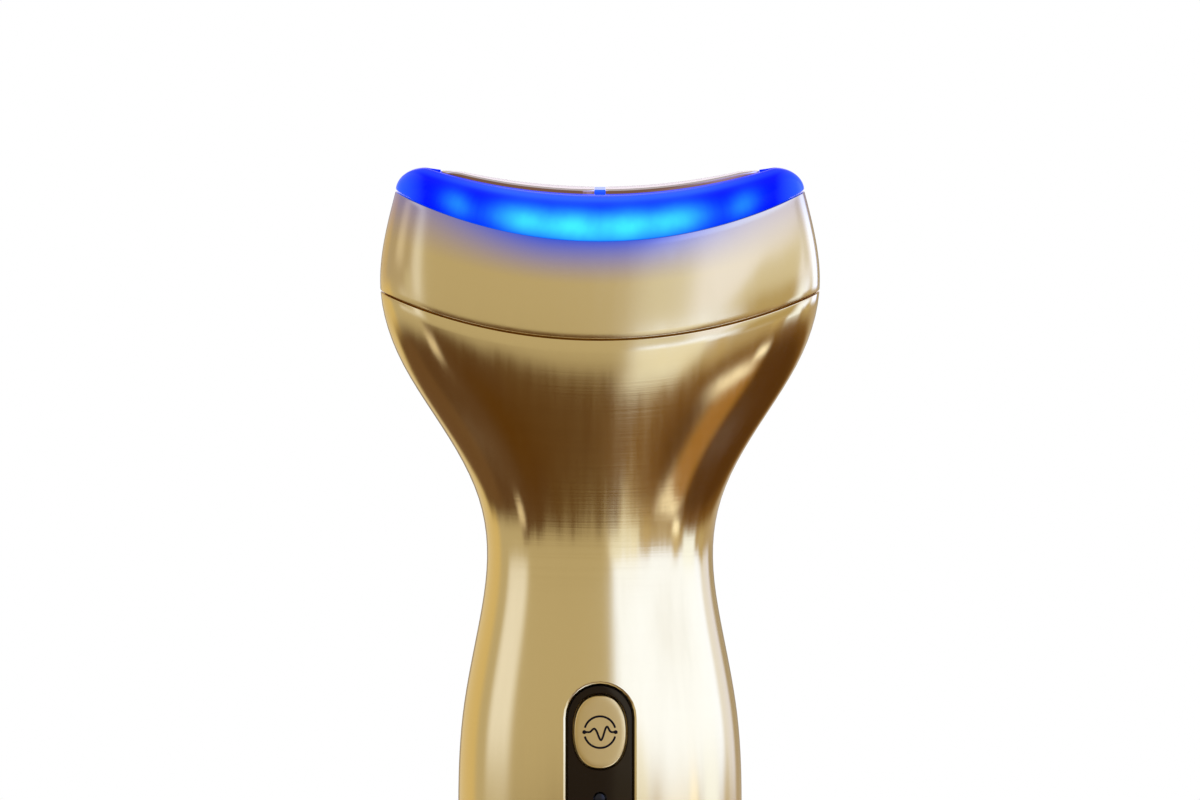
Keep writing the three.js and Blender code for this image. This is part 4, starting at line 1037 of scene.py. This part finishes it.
class DEVICE_OT_light_cap(bpy.types.Operator):
    """Makes the lit cap: a dome over the saddle rim, hollow below, with pockets for the plates"""

    bl_idname = "device.light_cap"
    bl_label = "Light cap"

    def execute(self, context):
        form, c = BodyForm(), sizes("cap")
        s = form.s
        rim, ridge = (s.rim_width / 2, s.rim_depth / 2), (c.ridge_width / 2, c.ridge_depth / 2)
        bottom = s.rim_height + s.seam_gap / 2
        fit, edge, near, shoulder = 0.3, 0.12, 0.02, 3
        lip, hollow = s.wall + fit, s.wall + fit + c.lip_thickness
        rise = s.top_height - s.rim_height

        def dome(share, half, top, roof):
            angle = QUARTER * share
            inwards, up = 1 - math.cos(angle), math.sin(angle)
            wide, deep = (a + (b - a) * inwards for a, b in zip(half, top))
            sag = s.rim_sag + (c.ridge_sag - s.rim_sag) * up
            return (wide, deep, s.rim_height + (rise - roof) * up, sag, wide + rim[0] - half[0])

        def rim_row(inset, height):
            return (rim[0] - inset, rim[1] - inset, height, s.rim_sag, rim[0])

        inner_half = (rim[0] - hollow, rim[1] - hollow)
        inner_top = (ridge[0] - shoulder, ridge[1] - c.lip_thickness)
        shares = [i / 24 for i in range(1, 25)]
        rows = [dome(1, inner_half, (inner_top[0], inner_top[1] * k), c.roof) for k in (0.0, 0.5)]
        rows += [dome(k, inner_half, inner_top, c.roof) for k in shares[::-3]]
        rows += [rim_row(hollow, s.rim_height)]
        rows += form.rows([(s.rim_height - c.lip_drop, hollow), (s.rim_height - c.lip_drop, lip)])
        rows += [rim_row(lip, bottom), rim_row(edge, bottom), rim_row(near, bottom + edge)]
        rows += [dome(k, rim, ridge, 0) for k in shares[1:]]
        rows += [dome(1, rim, (ridge[0], ridge[1] * k), 0) for k in (0.85, 0.7, 0.55, 0.4, 0.2, 0.0)]
        piece = place_object("lit_cap", ringed(rows, 2 * BODY_STEPS, "lit_cap"))
        source = piece.data.copy()
        for side in (-1, 1):
            carve(piece, plate_mesh(side, c, s, c.plate_gap, 2.0, 0))
            cut_bar(piece, STUD + 0.1, *STUD_BORE, (stud_place(side), 0, 0))
        top, half, deep = s.top_height - c.ridge_sag, c.plate_start - c.plate_gap / 2, DIVIDER_HALF
        corners = (-half, -deep, top - c.plate_sunk - 0.2), (half, deep, top + c.plate_proud - 0.05)
        carve(piece, block_mesh(*corners), "UNION")
        self.mark_light(piece.data, s, c)
        settle(piece, "lit_cap", source, replaces=["light_cap"])
        return {"FINISHED"}

    def mark_light(self, mesh, s, c):
        """Stores at each point how bright the painted light of the lamps is, and how pale it is, which also
        paints a highlight along the upper edge.
        """

        def hill(value, middle, wide):
            return ((value - middle) / wide) ** 2

        x, _, z = read(mesh.vertices).T / MM
        line = s.rim_height - s.rim_sag * (1 - hill(x, 0, s.rim_width / 2))
        top = s.top_height - c.ridge_sag * (1 - np.clip(2 * x / c.ridge_width, -1, 1) ** 2)
        share = np.clip((z - line) / np.maximum(top - line, 0.5), -0.3, 1.2)
        # A wide low painted glow, and a hill of painted light above each lamp; the outer two are small
        light = 0.42 * np.exp(-hill(x, 0, 10.5) - hill(share, 0.16, 0.34))
        for i in range(1, 7):
            low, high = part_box("led_%d" % i)
            lamp = (low.x + high.x) / 2 / MM
            strength, wide, shift = (0.30, 1.7, 1.05) if abs(lamp) > 12 else (0.78, 3.3, 1.0)
            light += strength * np.exp(-hill(x, lamp * shift, wide) - hill(share, 0.34, 0.29))
        # A painted highlight along the upper edge, and paler painted light at the two ends and on the
        # divider between the plates
        band = 0.6 * np.exp(-hill(share, 0.93, 0.09)) * np.clip(1.9 - np.abs(x) / 14, 0.35, 1)
        ends = 0.7 * np.clip((np.abs(x) - 23.0) / 3.8, 0, 1)
        pale = np.where((share > 1.03) & (np.abs(x) < 2), 0.9, np.maximum(band, ends))
        mark(mesh, lamp=light, pale=np.clip(pale, 0, 1))


def stud_place(side):
    """Place of an electrode's stud along the width, in millimetres."""
    low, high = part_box("electrode_contact_" + ("left" if side < 0 else "right"))
    return (low.x + high.x) / 2 / MM


def plate_mesh(side, c, s, gap, top, edge, count=40, tip=0.25):
    """A contact plate from the middle towards one end, or its pocket when it is grown by a gap."""
    start, length = c.plate_start - gap, c.plate_reach - c.plate_start + 2 * gap
    fullness, cut, cut_reach, beyond, fade_length = 2.6, 0.14, 1.1, 0.1, 2.6
    rings = []
    for i in range(count + 1):
        x = start + length * math.sin(QUARTER * i / count)
        taper = math.sqrt(max(0.0, 1 - min(1.0, x / c.plate_reach) ** fullness))
        corner = 1 - cut * max(0.0, 1 - (x - start) / cut_reach) ** 2
        half = tip + (c.plate_depth / 2 - tip) * taper * corner + gap
        ridge = s.top_height - c.ridge_sag * (1 - (2 * x / c.ridge_width) ** 2)
        fade = math.sqrt(min(1.0, (c.plate_reach + beyond - x) / fade_length)) if edge else 1.0
        low, high = ridge - c.plate_sunk - gap, ridge + top * fade
        arc = [(half, high)]
        if edge:
            arc = [(half - b, high - a) for a, b in rounding(min(edge, half * 0.8), 4)]
        across = [(-half, low), (half, low), *arc, *[(-y, z) for y, z in reversed(arc)]]
        rings.append([(side * x, y, z) for y, z in across])
    return merged(closed_rings(rings[::side]))


class DEVICE_OT_plates(bpy.types.Operator):
    """Makes the two bright contact plates with their studs"""

    bl_idname = "device.plates"
    bl_label = "Contact plates"

    def execute(self, context):
        s, c = sizes("body"), sizes("cap")
        for name, side in (("left", -1), ("right", 1)):
            piece = place_object("contact_plate_" + name, plate_mesh(side, c, s, 0.0, c.plate_proud, 0.4))
            x = stud_place(side)
            low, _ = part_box("electrode_" + name)
            top = s.top_height - c.ridge_sag * (1 - (2 * x / c.ridge_width) ** 2)
            cut_bar(piece, STUD, low.z / MM, top, (x, 0, 0), operation="UNION")
            settle(piece, "plate_metal", replaces=["electrode_" + name])
        return {"FINISHED"}


class DEVICE_OT_strip(bpy.types.Operator):
    """Makes the glossy black strip, which follows the body's surface"""

    bl_idname = "device.strip"
    bl_label = "Control strip"

    def execute(self, context):
        form, p = BodyForm(), sizes("controls")
        half, face, edge = p.strip_width / 2, p.strip_recess, 0.22
        skin = [(half * k, face) for k in (0, 0.12, 0.25, 0.4, 0.55, 0.7, 0.82)]
        skin += [(half - a, face + b) for a, b in rounding(edge, 4)]
        wide, seat, back = half + FLANGE, form.seat, form.seat + 1.2
        flat = [(half, seat), (wide, seat), (wide, back), (0, back)]
        straight = p.strip_length / 2 - half
        mesh = slot_mesh(form, p.strip_middle, straight, skin, flat, arc_steps=24, pitch=0.7)
        piece = place_object("control_panel", mesh)
        source = mesh.copy()
        hole, bevel, above, deep = p.key_width / 2 + p.key_gap, 0.16, 0.6, -8.0
        skin = [(0, face - above), (hole + bevel + above, face - above), (hole, face + bevel)]
        for up in (1, -1):
            middle, straight = p.strip_middle + up * p.key_offset, (p.key_length - p.key_width) / 2
            carve(piece, slot_mesh(form, middle, straight, skin, [(hole, deep), (0, deep)], oval=True))
        for step in (-1, 0, 1):
            place = (0, 0, p.strip_middle + step * p.signal_pitch)
            cut_bar(piece, p.signal_radius + 0.2, -20, deep, place, "Y")
        settle(piece, "strip_gloss", source, replaces=["control_strip"])
        return {"FINISHED"}


class DEVICE_OT_keys(bpy.types.Operator):
    """Makes the two push keys with a wave sign and a power sign"""

    bl_idname = "device.keys"
    bl_label = "Push keys"

    def execute(self, context):
        form, p = BodyForm(), sizes("controls")
        radius, straight = p.key_width / 2, (p.key_length - p.key_width) / 2
        edge, dish, flange, front, back = 0.26, 0.10, radius + 0.8, -10.9, -10.1

        def face(outline):
            away = np.hypot(outline[:, 0], outline[:, 1] * radius / (radius + straight))
            return -p.key_proud + dish * (1 - np.clip(away / (radius - edge), 0, 1) ** 2)

        skin = [((radius - edge) * k, face) for k in (0, 0.15, 0.3, 0.45, 0.6, 0.75, 0.88)]
        skin += [(radius - a, -p.key_proud + b) for a, b in rounding(edge, 6)]
        flat = [(radius, front), (flange, front), (flange, back), (0, back)]
        for name, up, strokes in (("mode", 1, wave_sign), ("power", -1, power_sign)):
            middle, body = p.strip_middle + up * p.key_offset, name + "_key"
            mesh = slot_mesh(form, middle, straight, skin, flat, oval=True)
            key = place_object(name + "_key_cap", mesh)
            settle(key, "key_gold", sharp=50.0, body=body, replaces=[name + "_button"])
            mesh = sign_mesh(strokes(p.sign_radius), face, middle, form, p.sign_stroke)
            settle(place_object(name + "_sign", mesh), "sign_ink", sharp=60.0, body=body)
        return {"FINISHED"}


# The wave sign on a ring of radius 1: places across, and how high the line is there
WAVE = (
    *((-1.0, 0.0), (-0.78, 0.0), (-0.62, 0.02), (-0.38, 0.22), (-0.19, 0.0), (0.07, -0.5)),
    *((0.28, 0.0), (0.44, 0.35), (0.62, 0.09), (0.78, 0.0), (1.0, 0.0)),
)


def arc_line(radius, start, end, count):
    """Points round an arc, between two bearings in degrees."""
    turns = np.radians(np.linspace(start, end, count))
    return np.stack([radius * np.cos(turns), radius * np.sin(turns)], 1)


def wave_sign(radius):
    """A wave with a dot at each end, in a ring that is open where the wave leaves it."""
    x = np.linspace(WAVE[0][0], WAVE[-1][0], 80)
    wave = np.stack([x, smooth_curve(WAVE)(x)], 1) * radius
    dots = [np.array([(end[0] * radius, 0.0)]) for end in (WAVE[0], WAVE[-1])]
    return [arc_line(radius, start, start + 148, 40) for start in (16, 196)] + [wave] + dots


def power_sign(radius):
    """A ring that is open at its top, with an upright bar in the opening."""
    bar = np.stack([np.zeros(8), np.linspace(0.05 * radius, 0.92 * radius, 8)], 1)
    return [arc_line(0.72 * radius, 122, 418, 70), bar]


def sign_strokes(name):
    """Lays a thin round bead along curves, and a flat drop on every loose point."""
    tree, given = geometry_tree(name, Stroke="Float", Material="Material")
    half = times(tree, given["Stroke"], 0.5)
    circle = add(tree, "GeometryNodeCurvePrimitiveCircle", {"Resolution": 10, "Radius": half})
    curve = add(tree, "GeometryNodeMeshToCurve", {"Mesh": given["Geometry"]})
    path = {"Curve": curve.outputs[0], "Profile Curve": circle.outputs[0], "Fill Caps": True}
    bead = add(tree, "GeometryNodeCurveToMesh", path)
    test = {"data_type": "FLOAT", "operation": "GREATER_THAN"}
    picked = add(tree, "FunctionNodeCompare", {0: named(tree, "dot"), 1: 0.5}, **test).outputs[0]
    points = add(tree, "GeometryNodeMeshToPoints", {"Mesh": given["Geometry"], "Selection": picked})
    ball = {"Segments": 16, "Rings": 8, "Radius": times(tree, given["Stroke"], 0.95)}
    drop = add(tree, "GeometryNodeMeshUVSphere", ball)
    flat = add(tree, "ShaderNodeCombineXYZ", {0: 1.0, 1: 0.4, 2: 1.0})
    values = {"Points": points.outputs[0], "Instance": drop.outputs[0], "Scale": flat.outputs[0]}
    drops = add(tree, "GeometryNodeInstanceOnPoints", values)
    both = add(tree, "GeometryNodeJoinGeometry", {0: bead.outputs[0]})
    feed(both, {0: drops.outputs[0]})
    return finish_tree(tree, both.outputs[0], given["Material"])


def sign_mesh(lines, face, middle, form, stroke):
    """A sign whose lines, and dots of one point, lie on a key's face, half sunk into it."""
    points, edges, dots = [], [], []
    for line in lines:
        start = len(points)
        y = form.front(line[:, 0], line[:, 1] + middle) + (face(line) - stroke * 0.05)
        points += [(across, deep, up + middle) for (across, up), deep in zip(line, y)]
        edges += [(i, i + 1) for i in range(start, len(points) - 1)]
        dots += [float(len(line) == 1)] * len(line)
    mesh = net(points, [], edges=edges)
    mark(mesh, dot=dots)
    return grow(mesh, sign_strokes, Stroke=stroke * MM, Material=get_finish("sign_ink"))


def pins_in_a_row(name):
    """Sets one small turned pin on every point of a mesh."""
    tree, given = geometry_tree(name, Pin="Object", Material="Material")
    template = add(tree, "GeometryNodeObjectInfo", {"Object": given["Pin"]}, transform_space="ORIGINAL")
    values = {
        "Points": add(tree, "GeometryNodeMeshToPoints", {"Mesh": given["Geometry"]}).outputs[0],
        "Instance": template.outputs["Geometry"],
        "Rotation": named(tree, "turn", "FLOAT_VECTOR"),
    }
    pins = add(tree, "GeometryNodeInstanceOnPoints", values)
    return finish_tree(tree, pins.outputs[0], given["Material"])


def row_of(template, places, finish_name, turn=(0, 0, 0)):
    """One mesh of a template set on every place, in millimetres, and turned."""
    carrier = net(places, [])
    mark(carrier, "FLOAT_VECTOR", turn=[turn] * len(places))
    holder = place_object("template", template)
    mesh = grow(carrier, pins_in_a_row, Pin=holder, Material=get_finish(finish_name))
    bpy.data.objects.remove(holder)
    return mesh


class DEVICE_OT_signals(bpy.types.Operator):
    """Makes the light guide behind the strip with its three domed signal windows"""

    bl_idname = "device.signals"
    bl_label = "Signal windows"

    def execute(self, context):
        p = sizes("controls")
        low, high = (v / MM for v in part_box("light_guide"))
        r, length = p.signal_radius, high.y - low.y
        dome = [(r, length - 0.12), (r * 0.9, length - 0.04), (r * 0.5, length), (0, length)]
        pin, sunk = turned_mesh([(0, 0), (r, 0), *dome], 32, "Y"), 1.5
        places = [(0, high.y, p.strip_middle + step * p.signal_pitch) for step in (-1, 0, 1)]
        piece = place_object("signal_windows", row_of(pin, places, "smoked_plastic"))
        carve(piece, block_mesh((low.x, high.y - sunk, low.z), high), "UNION")
        settle(piece, "smoked_plastic", replaces=["light_guide"])
        return {"FINISHED"}


# Height of the screws' heads
SCREW_HEAD = 1.2


def screw_mesh(length, r=0.8, head=1.5, pitch=0.5, socket=0.72, socket_depth=0.65):
    """A pan-head screw that points up, with a rounded head, a six-sided recess and threads."""
    profile = [(0, -SCREW_HEAD)]
    profile += [(head - a, -SCREW_HEAD + b) for a, b in rounding(0.35, 4)]
    profile += [(head, 0), (r, 0)]
    for i in range(int((length - 0.8) / pitch)):
        z = 0.3 + i * pitch
        profile += [(r * 0.8, z), (r, z + pitch / 2)]
    profile += [(r * 0.8, length - 0.4), (r * 0.35, length), (0, length)]
    piece = place_object("screw", turned_mesh(profile, 24))
    end = socket_depth - SCREW_HEAD
    carve(piece, turned_mesh([(0, -2), (socket, -2), (socket, end), (0, end + 0.2)], 6))
    mesh = piece.data
    bpy.data.objects.remove(piece)
    mesh.shade_smooth()
    mesh.set_sharp_from_angle(angle=math.radians(40))
    return mesh


class DEVICE_OT_screws(bpy.types.Operator):
    """Makes the ten screws: two in the base, two in each end of the chassis and head, four in the board"""

    bl_idname = "device.screws"
    bl_label = "Screws"

    def execute(self, context):
        pair = ("left", "right")
        kinds = (
            ("base", pair, (0, 0, 0), 2, 1),
            ("frame", pair, (0, 0, 0), 2, 1),
            ("head", pair, (math.pi, 0, 0), 2, -1),
            ("board", ("1", "2", "3", "4"), (-QUARTER, 0, 0), 1, 1),
        )
        for kind, ends, turn, axis, way in kinds:
            nodes = ["%s_screw_%s" % (kind, end) for end in ends]
            places = []
            for node in nodes:
                low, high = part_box(node)
                length = (high[axis] - low[axis]) / MM - SCREW_HEAD
                place = (low + high) / 2
                place[axis] = (low if way > 0 else high)[axis] + way * SCREW_HEAD * MM
                places.append(place / MM)
            mesh = row_of(screw_mesh(length), places, "screw_steel", turn)
            piece = place_object(kind + "_screws", mesh)
            settle(piece, "screw_steel", sharp=40.0, replaces=nodes)
        return {"FINISHED"}


class DEVICE_OT_port(bpy.types.Operator):
    """Makes the row of contacts on both faces of the charging port's tongue"""

    bl_idname = "device.port"
    bl_label = "Port contacts"

    def execute(self, context):
        low, _ = (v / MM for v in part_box("usb_socket"))
        half, thin, long = 0.12, 0.03, 4.2
        pad = block_mesh((-half, -thin, 0), (half, thin, long))
        pitch, away, rise = 0.5, 0.35, low.z + 1.0
        places = [((i - 5.5) * pitch, face * away, rise) for face in (-1, 1) for i in range(12)]
        piece = place_object("port_contacts", row_of(pad, places, "copper"))
        settle(piece, "copper")
        return {"FINISHED"}


INSIDE_FINISHES = {
    "soft_rubber": "base_seal cap_gasket",
    "black_plastic": "head_frame inner_chassis controller_chip mode_switch_body power_switch_body",
    "white_plastic": "reflector_plate head_connector mode_switch_plunger power_switch_plunger",
    "circuit_green": "led_board main_board usb_board",
    "copper": "electrode_contact_left electrode_contact_right boost_coil head_ribbon charge_ribbon",
    "screw_steel": "storage_capacitor usb_socket battery_tab_positive battery_tab_negative",
    "cell_wrap": "battery_cell",
    "lamp_resin": "led_1 led_2 led_3 led_4 led_5 led_6 indicator_led_1 indicator_led_2 indicator_led_3",
}


class DEVICE_OT_inside(bpy.types.Operator):
    """Gives the pieces inside the body their finishes"""

    bl_idname = "device.inside"
    bl_label = "Inner pieces"

    def execute(self, context):
        for name, nodes in INSIDE_FINISHES.items():
            for node in nodes.split():
                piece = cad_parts[node]
                if not piece.material_slots:
                    raise RuntimeError("no material slot on " + node)
                for slot in piece.material_slots:
                    slot.material = get_finish(name)
        return {"FINISHED"}


# Light that the metal mirrors: name, middle and half width of the bearing, lowest and highest place above
# the horizon, softness across and upwards, colour, and how far the bearing leans as the place rises, if it
# does. The bearing is 0 at the front and grows to the right.
SURROUND = (
    ("room", 0, 200, -100, 100, 1, 1, (0.60, 0.58, 0.60)),
    ("warm rear wall", -143, 28, -40, 60, 14, 8, (0.78, 0.68, 0.48)),
    ("rear shade", 180, 16, -60, 60, 8, 8, (0.30, 0.25, 0.20)),
    ("rear light", 180, 7, 1, 24, 4, 4, (1.00, 0.92, 1.00)),
    ("left window", -81, 15, -1, 60, 10, 8, (1.02, 1.15, 1.95)),
    ("right softbox", 64, 57, -40, 60, 6, 4, (1.28, 1.68, 4.00)),
    ("far right softbox", 130, 13, -40, 60, 8, 6, (0.98, 1.14, 2.10)),
    ("right rear wall", 156, 12, -40, 60, 10, 6, (0.46, 0.40, 0.31)),
    ("low room right", 95, 88, -90, -4, 8, 4, (0.54, 0.47, 0.40)),
    ("low softbox", 17, 11, -8, 0, 6, 3, (1.02, 1.14, 1.70)),
    ("low side softbox", 92, 11, -10, 0, 6, 4, (1.22, 1.55, 3.20)),
    ("gap one", 34, 4, -90, -2, 6, 3, (0.62, 0.54, 0.44)),
    ("gap two", 70, 4, -90, -2, 5, 3, (0.64, 0.56, 0.46)),
    ("gap three", 118, 6, -90, -2, 6, 3, (0.60, 0.54, 0.46)),
    ("dark front", -30, 41, -46, -7.5, 8, 5, (0.12, 0.062, 0.030)),
    ("dark middle", -12, 18, -46, -6.5, 8, 5, (0.13, 0.070, 0.030)),
    ("dark left", -95, 40, -46, -14, 16, 8, (0.13, 0.072, 0.045)),
    ("dark rear left", -150, 52, -46, -18, 16, 6, (0.17, 0.10, 0.065)),
    ("dark right", 92, 90, -46, -11, 14, 5, (0.21, 0.110, 0.03)),
    ("deep right", 124, 54, -46, -16, 20, 8, (0.11, 0.050, 0.015)),
    ("deep front", 0, 50, -46, -18, 20, 8, (0.12, 0.055, 0.01)),
    ("left glint", -69, 4, -19, -12, 5, 5, (0.95, 0.92, 1.10)),
    ("right amber", 58, 13, -40, -19, 14, 8, (0.40, 0.215, 0.06)),
)
# Light that the flare alone mirrors: as above, but with heights in millimetres.
FLARE_SCREENS = (
    ("right glint", 57, 11, 37, 60, 12, 14, (1.32, 1.40, 2.00), -0.4),
    ("right glint end", 67, 5, 57, 74, 6, 9, (1.60, 1.75, 2.60)),
    ("centre glow", 14, 9, 90, 106, 8, 12, (1.02, 1.20, 2.00)),
)
# Light close to the body, below for the handle and above for the crown.
NEAR_SCREENS = (
    ("low room", 0, 200, -200, 50, 1, 12, (0.62, 0.58, 0.58)),
    ("low left light", -80, 16, -200, 50, 10, 12, (1.00, 1.08, 1.70)),
    ("low right light", 64, 55, -200, 50, 12, 12, (1.20, 1.50, 3.20)),
    ("low right wall", 150, 14, -200, 50, 12, 12, (0.48, 0.42, 0.34)),
    ("low rear light", -176, 12, -200, 50, 8, 12, (1.00, 1.10, 1.70)),
    ("low rear wall", -138, 22, -200, 50, 12, 12, (0.84, 0.76, 0.58)),
    ("right glow", 67, 53, 153, 240, 7, 14, (1.06, 1.25, 2.60)),
    ("centre screen", 15, 8, 149, 240, 7, 8, (0.82, 0.90, 1.34)),
    ("grey wedge", 57, 24, 149, 182, 9, 14, (0.80, 0.85, 1.14), 0.6),
    ("low khaki", 62, 22, 136, 157, 14, 9, (0.54, 0.48, 0.38), 0.3),
    ("edge shade", 104, 6, 160, 200, 6, 10, (0.84, 0.94, 1.60)),
    ("right rim light", 126, 10, 140, 240, 6, 8, (1.30, 1.70, 3.80)),
    ("left wall", -104, 30, 149, 240, 10, 8, (0.53, 0.50, 0.56)),
    ("left warm wall", -134, 14, 149, 240, 12, 8, (0.66, 0.57, 0.47)),
    ("left streak low", -79, 4, 149, 164, 6, 10, (0.70, 0.72, 0.88)),
    ("left streak high", -93, 6, 166, 240, 8, 10, (0.80, 0.80, 1.05)),
)


def light_net(cards, rises, radius, ball=False):
    """A ring or ball of light whose points carry the cards' colours and how much they cover."""
    around, rise = np.meshgrid(np.arange(0, 360, 1.5), rises)
    light, cover = np.ones((*around.shape, 1)) * np.array(cards[0][7]), np.zeros((*around.shape, 1))
    for _, middle, half, low, high, soft, soft_up, colour, *lean in cards:
        away = np.abs((around - middle - sum(lean) * (rise - low) + 180) % 360 - 180)
        weight = np.ones_like(away)
        for share in ((half - away) / soft, (rise - low) / soft_up, (high - rise) / soft_up):
            share = np.clip(share + 0.5, 0, 1)
            weight = weight * share**2 * (3 - 2 * share)
        weight = weight[..., None]
        light, cover = light + weight * (np.array(colour) - light), cover + weight * (1 - cover)
    turn, up = np.radians(around), np.radians(rise)
    level, height = (radius * np.cos(up), radius * np.sin(up)) if ball else (radius, rise * MM)
    points = np.stack([level * np.sin(turn), -level * np.cos(turn), height], -1).reshape(-1, 3)
    mesh = net(points, bands(*around.shape), 1.0)
    mark(mesh, "FLOAT_COLOR", light=np.concatenate([light, cover], -1))
    return mesh


class DEVICE_OT_studio(bpy.types.Operator):
    """Makes the pale floor, the soft light and the camera"""

    bl_idname = "device.studio"
    bl_label = "Floor, light and camera"

    def execute(self, context):
        scene = context.scene
        studio = scene.device_studio
        scene.view_settings.view_transform = "Standard"
        self.make_world(scene, studio.fill)
        self.make_floor(studio.floor_radius)
        made = self.light_paint()
        nets = {
            "surround": light_net(SURROUND, np.linspace(-89, 89, 179), 4.0, ball=True),
            "flare_screens": light_net(FLARE_SCREENS, np.linspace(26, 116, 46), 0.25),
            "near_screens": light_net(NEAR_SCREENS, np.linspace(-150, 210, 145), 0.12),
        }
        for name, mesh in nets.items():
            piece = place_object(name, mesh)
            mesh.materials.append(made)
            for kind in ("camera", "diffuse", "transmission", "volume_scatter", "shadow"):
                setattr(piece, "visible_" + kind, False)
        lit_point = Vector((0, 0, 0.08))
        lamps = (("lamp_left", (-0.7, -0.8, 0.9), 1.0), ("lamp_right", (0.8, -0.6, 0.8), 1.3))
        for name, place, power in lamps:
            data, place = bpy.data.lights.new(name, "AREA"), Vector(place)
            data.shape, data.size, data.energy = "DISK", 0.6, studio.lamp_power * power
            lamp = self.stand(scene, name, data, place, lit_point - place)
            lamp.visible_glossy = False
        data = bpy.data.cameras.new("camera")
        data.sensor_width, data.lens, data.clip_start, data.clip_end = 36.0, studio.lens, 0.1, 50.0
        back = Vector((0, -math.cos(studio.elevation), math.sin(studio.elevation)))
        place = Vector((0, 0, studio.aim_height)) + back * studio.distance
        scene.camera = self.stand(scene, "camera", data, place, -back)
        return {"FINISHED"}

    def stand(self, scene, name, data, place, facing):
        """A lamp or camera at a place, facing a way."""
        made = bpy.data.objects.new(name, data)
        made.location, made.rotation_euler = place, facing.to_track_quat("-Z", "Y").to_euler()
        scene.collection.objects.link(made)
        return made

    def light_paint(self):
        """Light in the colour that the points carry, clear where they cover nothing."""
        made = bpy.data.materials.new("card_light")
        tree = blank(made)
        glow = add(tree, "ShaderNodeEmission", {0: attribute(tree, "light", "Color")})
        clear = add(tree, "ShaderNodeBsdfTransparent")
        layers = {0: attribute(tree, "light", "Alpha"), 1: clear.outputs[0], 2: glow.outputs[0]}
        mixed = add(tree, "ShaderNodeMixShader", layers)
        add(tree, "ShaderNodeOutputMaterial", {0: mixed.outputs[0]})
        return made

    def make_world(self, scene, fill_light):
        """White where the camera, the gloss and clear plastic look, and softer on plain surfaces."""
        scene.world = bpy.data.worlds.new("studio")
        tree = blank(scene.world)
        path = add(tree, "ShaderNodeLightPath").outputs
        seen = calc(tree, "MAXIMUM", path["Is Camera Ray"], path["Is Glossy Ray"])
        seen = calc(tree, "MAXIMUM", seen, path["Is Transmission Ray"])
        strength = calc(tree, "ADD", times(tree, seen, 1.0 - fill_light), fill_light)
        back = add(tree, "ShaderNodeBackground", {0: (1, 1, 1), 1: strength})
        add(tree, "ShaderNodeOutputWorld", {0: back.outputs[0]})

    def make_floor(self, radius, sides=96, count=12, drop=-0.0002, fade_from=0.14, fade_to=0.5):
        """A pale round floor that fades into the white round it."""
        turns = np.linspace(0, 2 * math.pi, sides, endpoint=False)
        rings = [radius * k / count for k in range(1, count + 1)]
        points = [(0, 0, drop)] + [(r * math.cos(t), r * math.sin(t), drop) for r in rings for t in turns]
        faces = [(0, 1 + i, 1 + (i + 1) % sides) for i in range(sides)]
        floor = place_object("floor", net(points, faces + bands(count, sides, flip=True, first=1), 1.0))
        made, tree, shader = finish("floor_paint")
        _, x, y, _ = here(tree)
        away = calc(tree, "SQRT", calc(tree, "ADD", times(tree, x, x), times(tree, y, y)))
        fill(shader, Base_Color=(0.86, 0.86, 0.86), Roughness=0.9, Specular_IOR_Level=0.1)
        white = add(tree, "ShaderNodeEmission", {0: (1, 1, 1), 1: 1.0})
        seen = add(tree, "ShaderNodeLightPath").outputs["Is Camera Ray"]
        fade = times(tree, spread(tree, away, fade_from, fade_to), seen)
        mixed = add(tree, "ShaderNodeMixShader", {0: fade, 1: shader.outputs[0], 2: white.outputs[0]})
        out = next(node for node in tree.nodes if node.type == "OUTPUT_MATERIAL")
        feed(out, {0: mixed.outputs[0]})
        floor.data.materials.append(made)
        floor.visible_glossy = False


class DEVICE_PT_maker(bpy.types.Panel):
    """Lists the sizes, the colours and the steps that make the pieces"""

    bl_idname = "DEVICE_PT_maker"
    bl_label = "Facial Device"
    bl_space_type = "VIEW_3D"
    bl_region_type = "UI"
    bl_category = "Facial Device"

    def draw(self, context):
        for key in GROUPS:
            box = self.layout.box()
            box.label(text=key.capitalize())
            group = getattr(context.scene, "device_" + key)
            for name in group.__annotations__:
                box.prop(group, name)
        for step in STEPS:
            self.layout.operator(step.bl_idname)


GROUPS = {
    "body": BodySizes,
    "cap": CapSizes,
    "controls": ControlSizes,
    "base": BaseSizes,
    "finishes": Finishes,
    "studio": StudioSizes,
}
STEPS = (
    DEVICE_OT_studio,
    DEVICE_OT_shells,
    DEVICE_OT_crown,
    DEVICE_OT_base,
    DEVICE_OT_light_cap,
    DEVICE_OT_plates,
    DEVICE_OT_strip,
    DEVICE_OT_keys,
    DEVICE_OT_signals,
    DEVICE_OT_screws,
    DEVICE_OT_port,
    DEVICE_OT_inside,
)
CLASSES = (*GROUPS.values(), *STEPS, DEVICE_PT_maker)


def register():
    for kind in CLASSES:
        bpy.utils.register_class(kind)
    for key, group in GROUPS.items():
        setattr(bpy.types.Scene, "device_" + key, bpy.props.PointerProperty(type=group))


def unregister():
    for key in GROUPS:
        delattr(bpy.types.Scene, "device_" + key)
    for kind in reversed(CLASSES):
        bpy.utils.unregister_class(kind)


def main():
    """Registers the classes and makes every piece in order."""
    register()
    for step in STEPS:
        area, name = step.bl_idname.split(".")
        getattr(getattr(bpy.ops, area), name)()


if __name__ == "__main__":
    main()
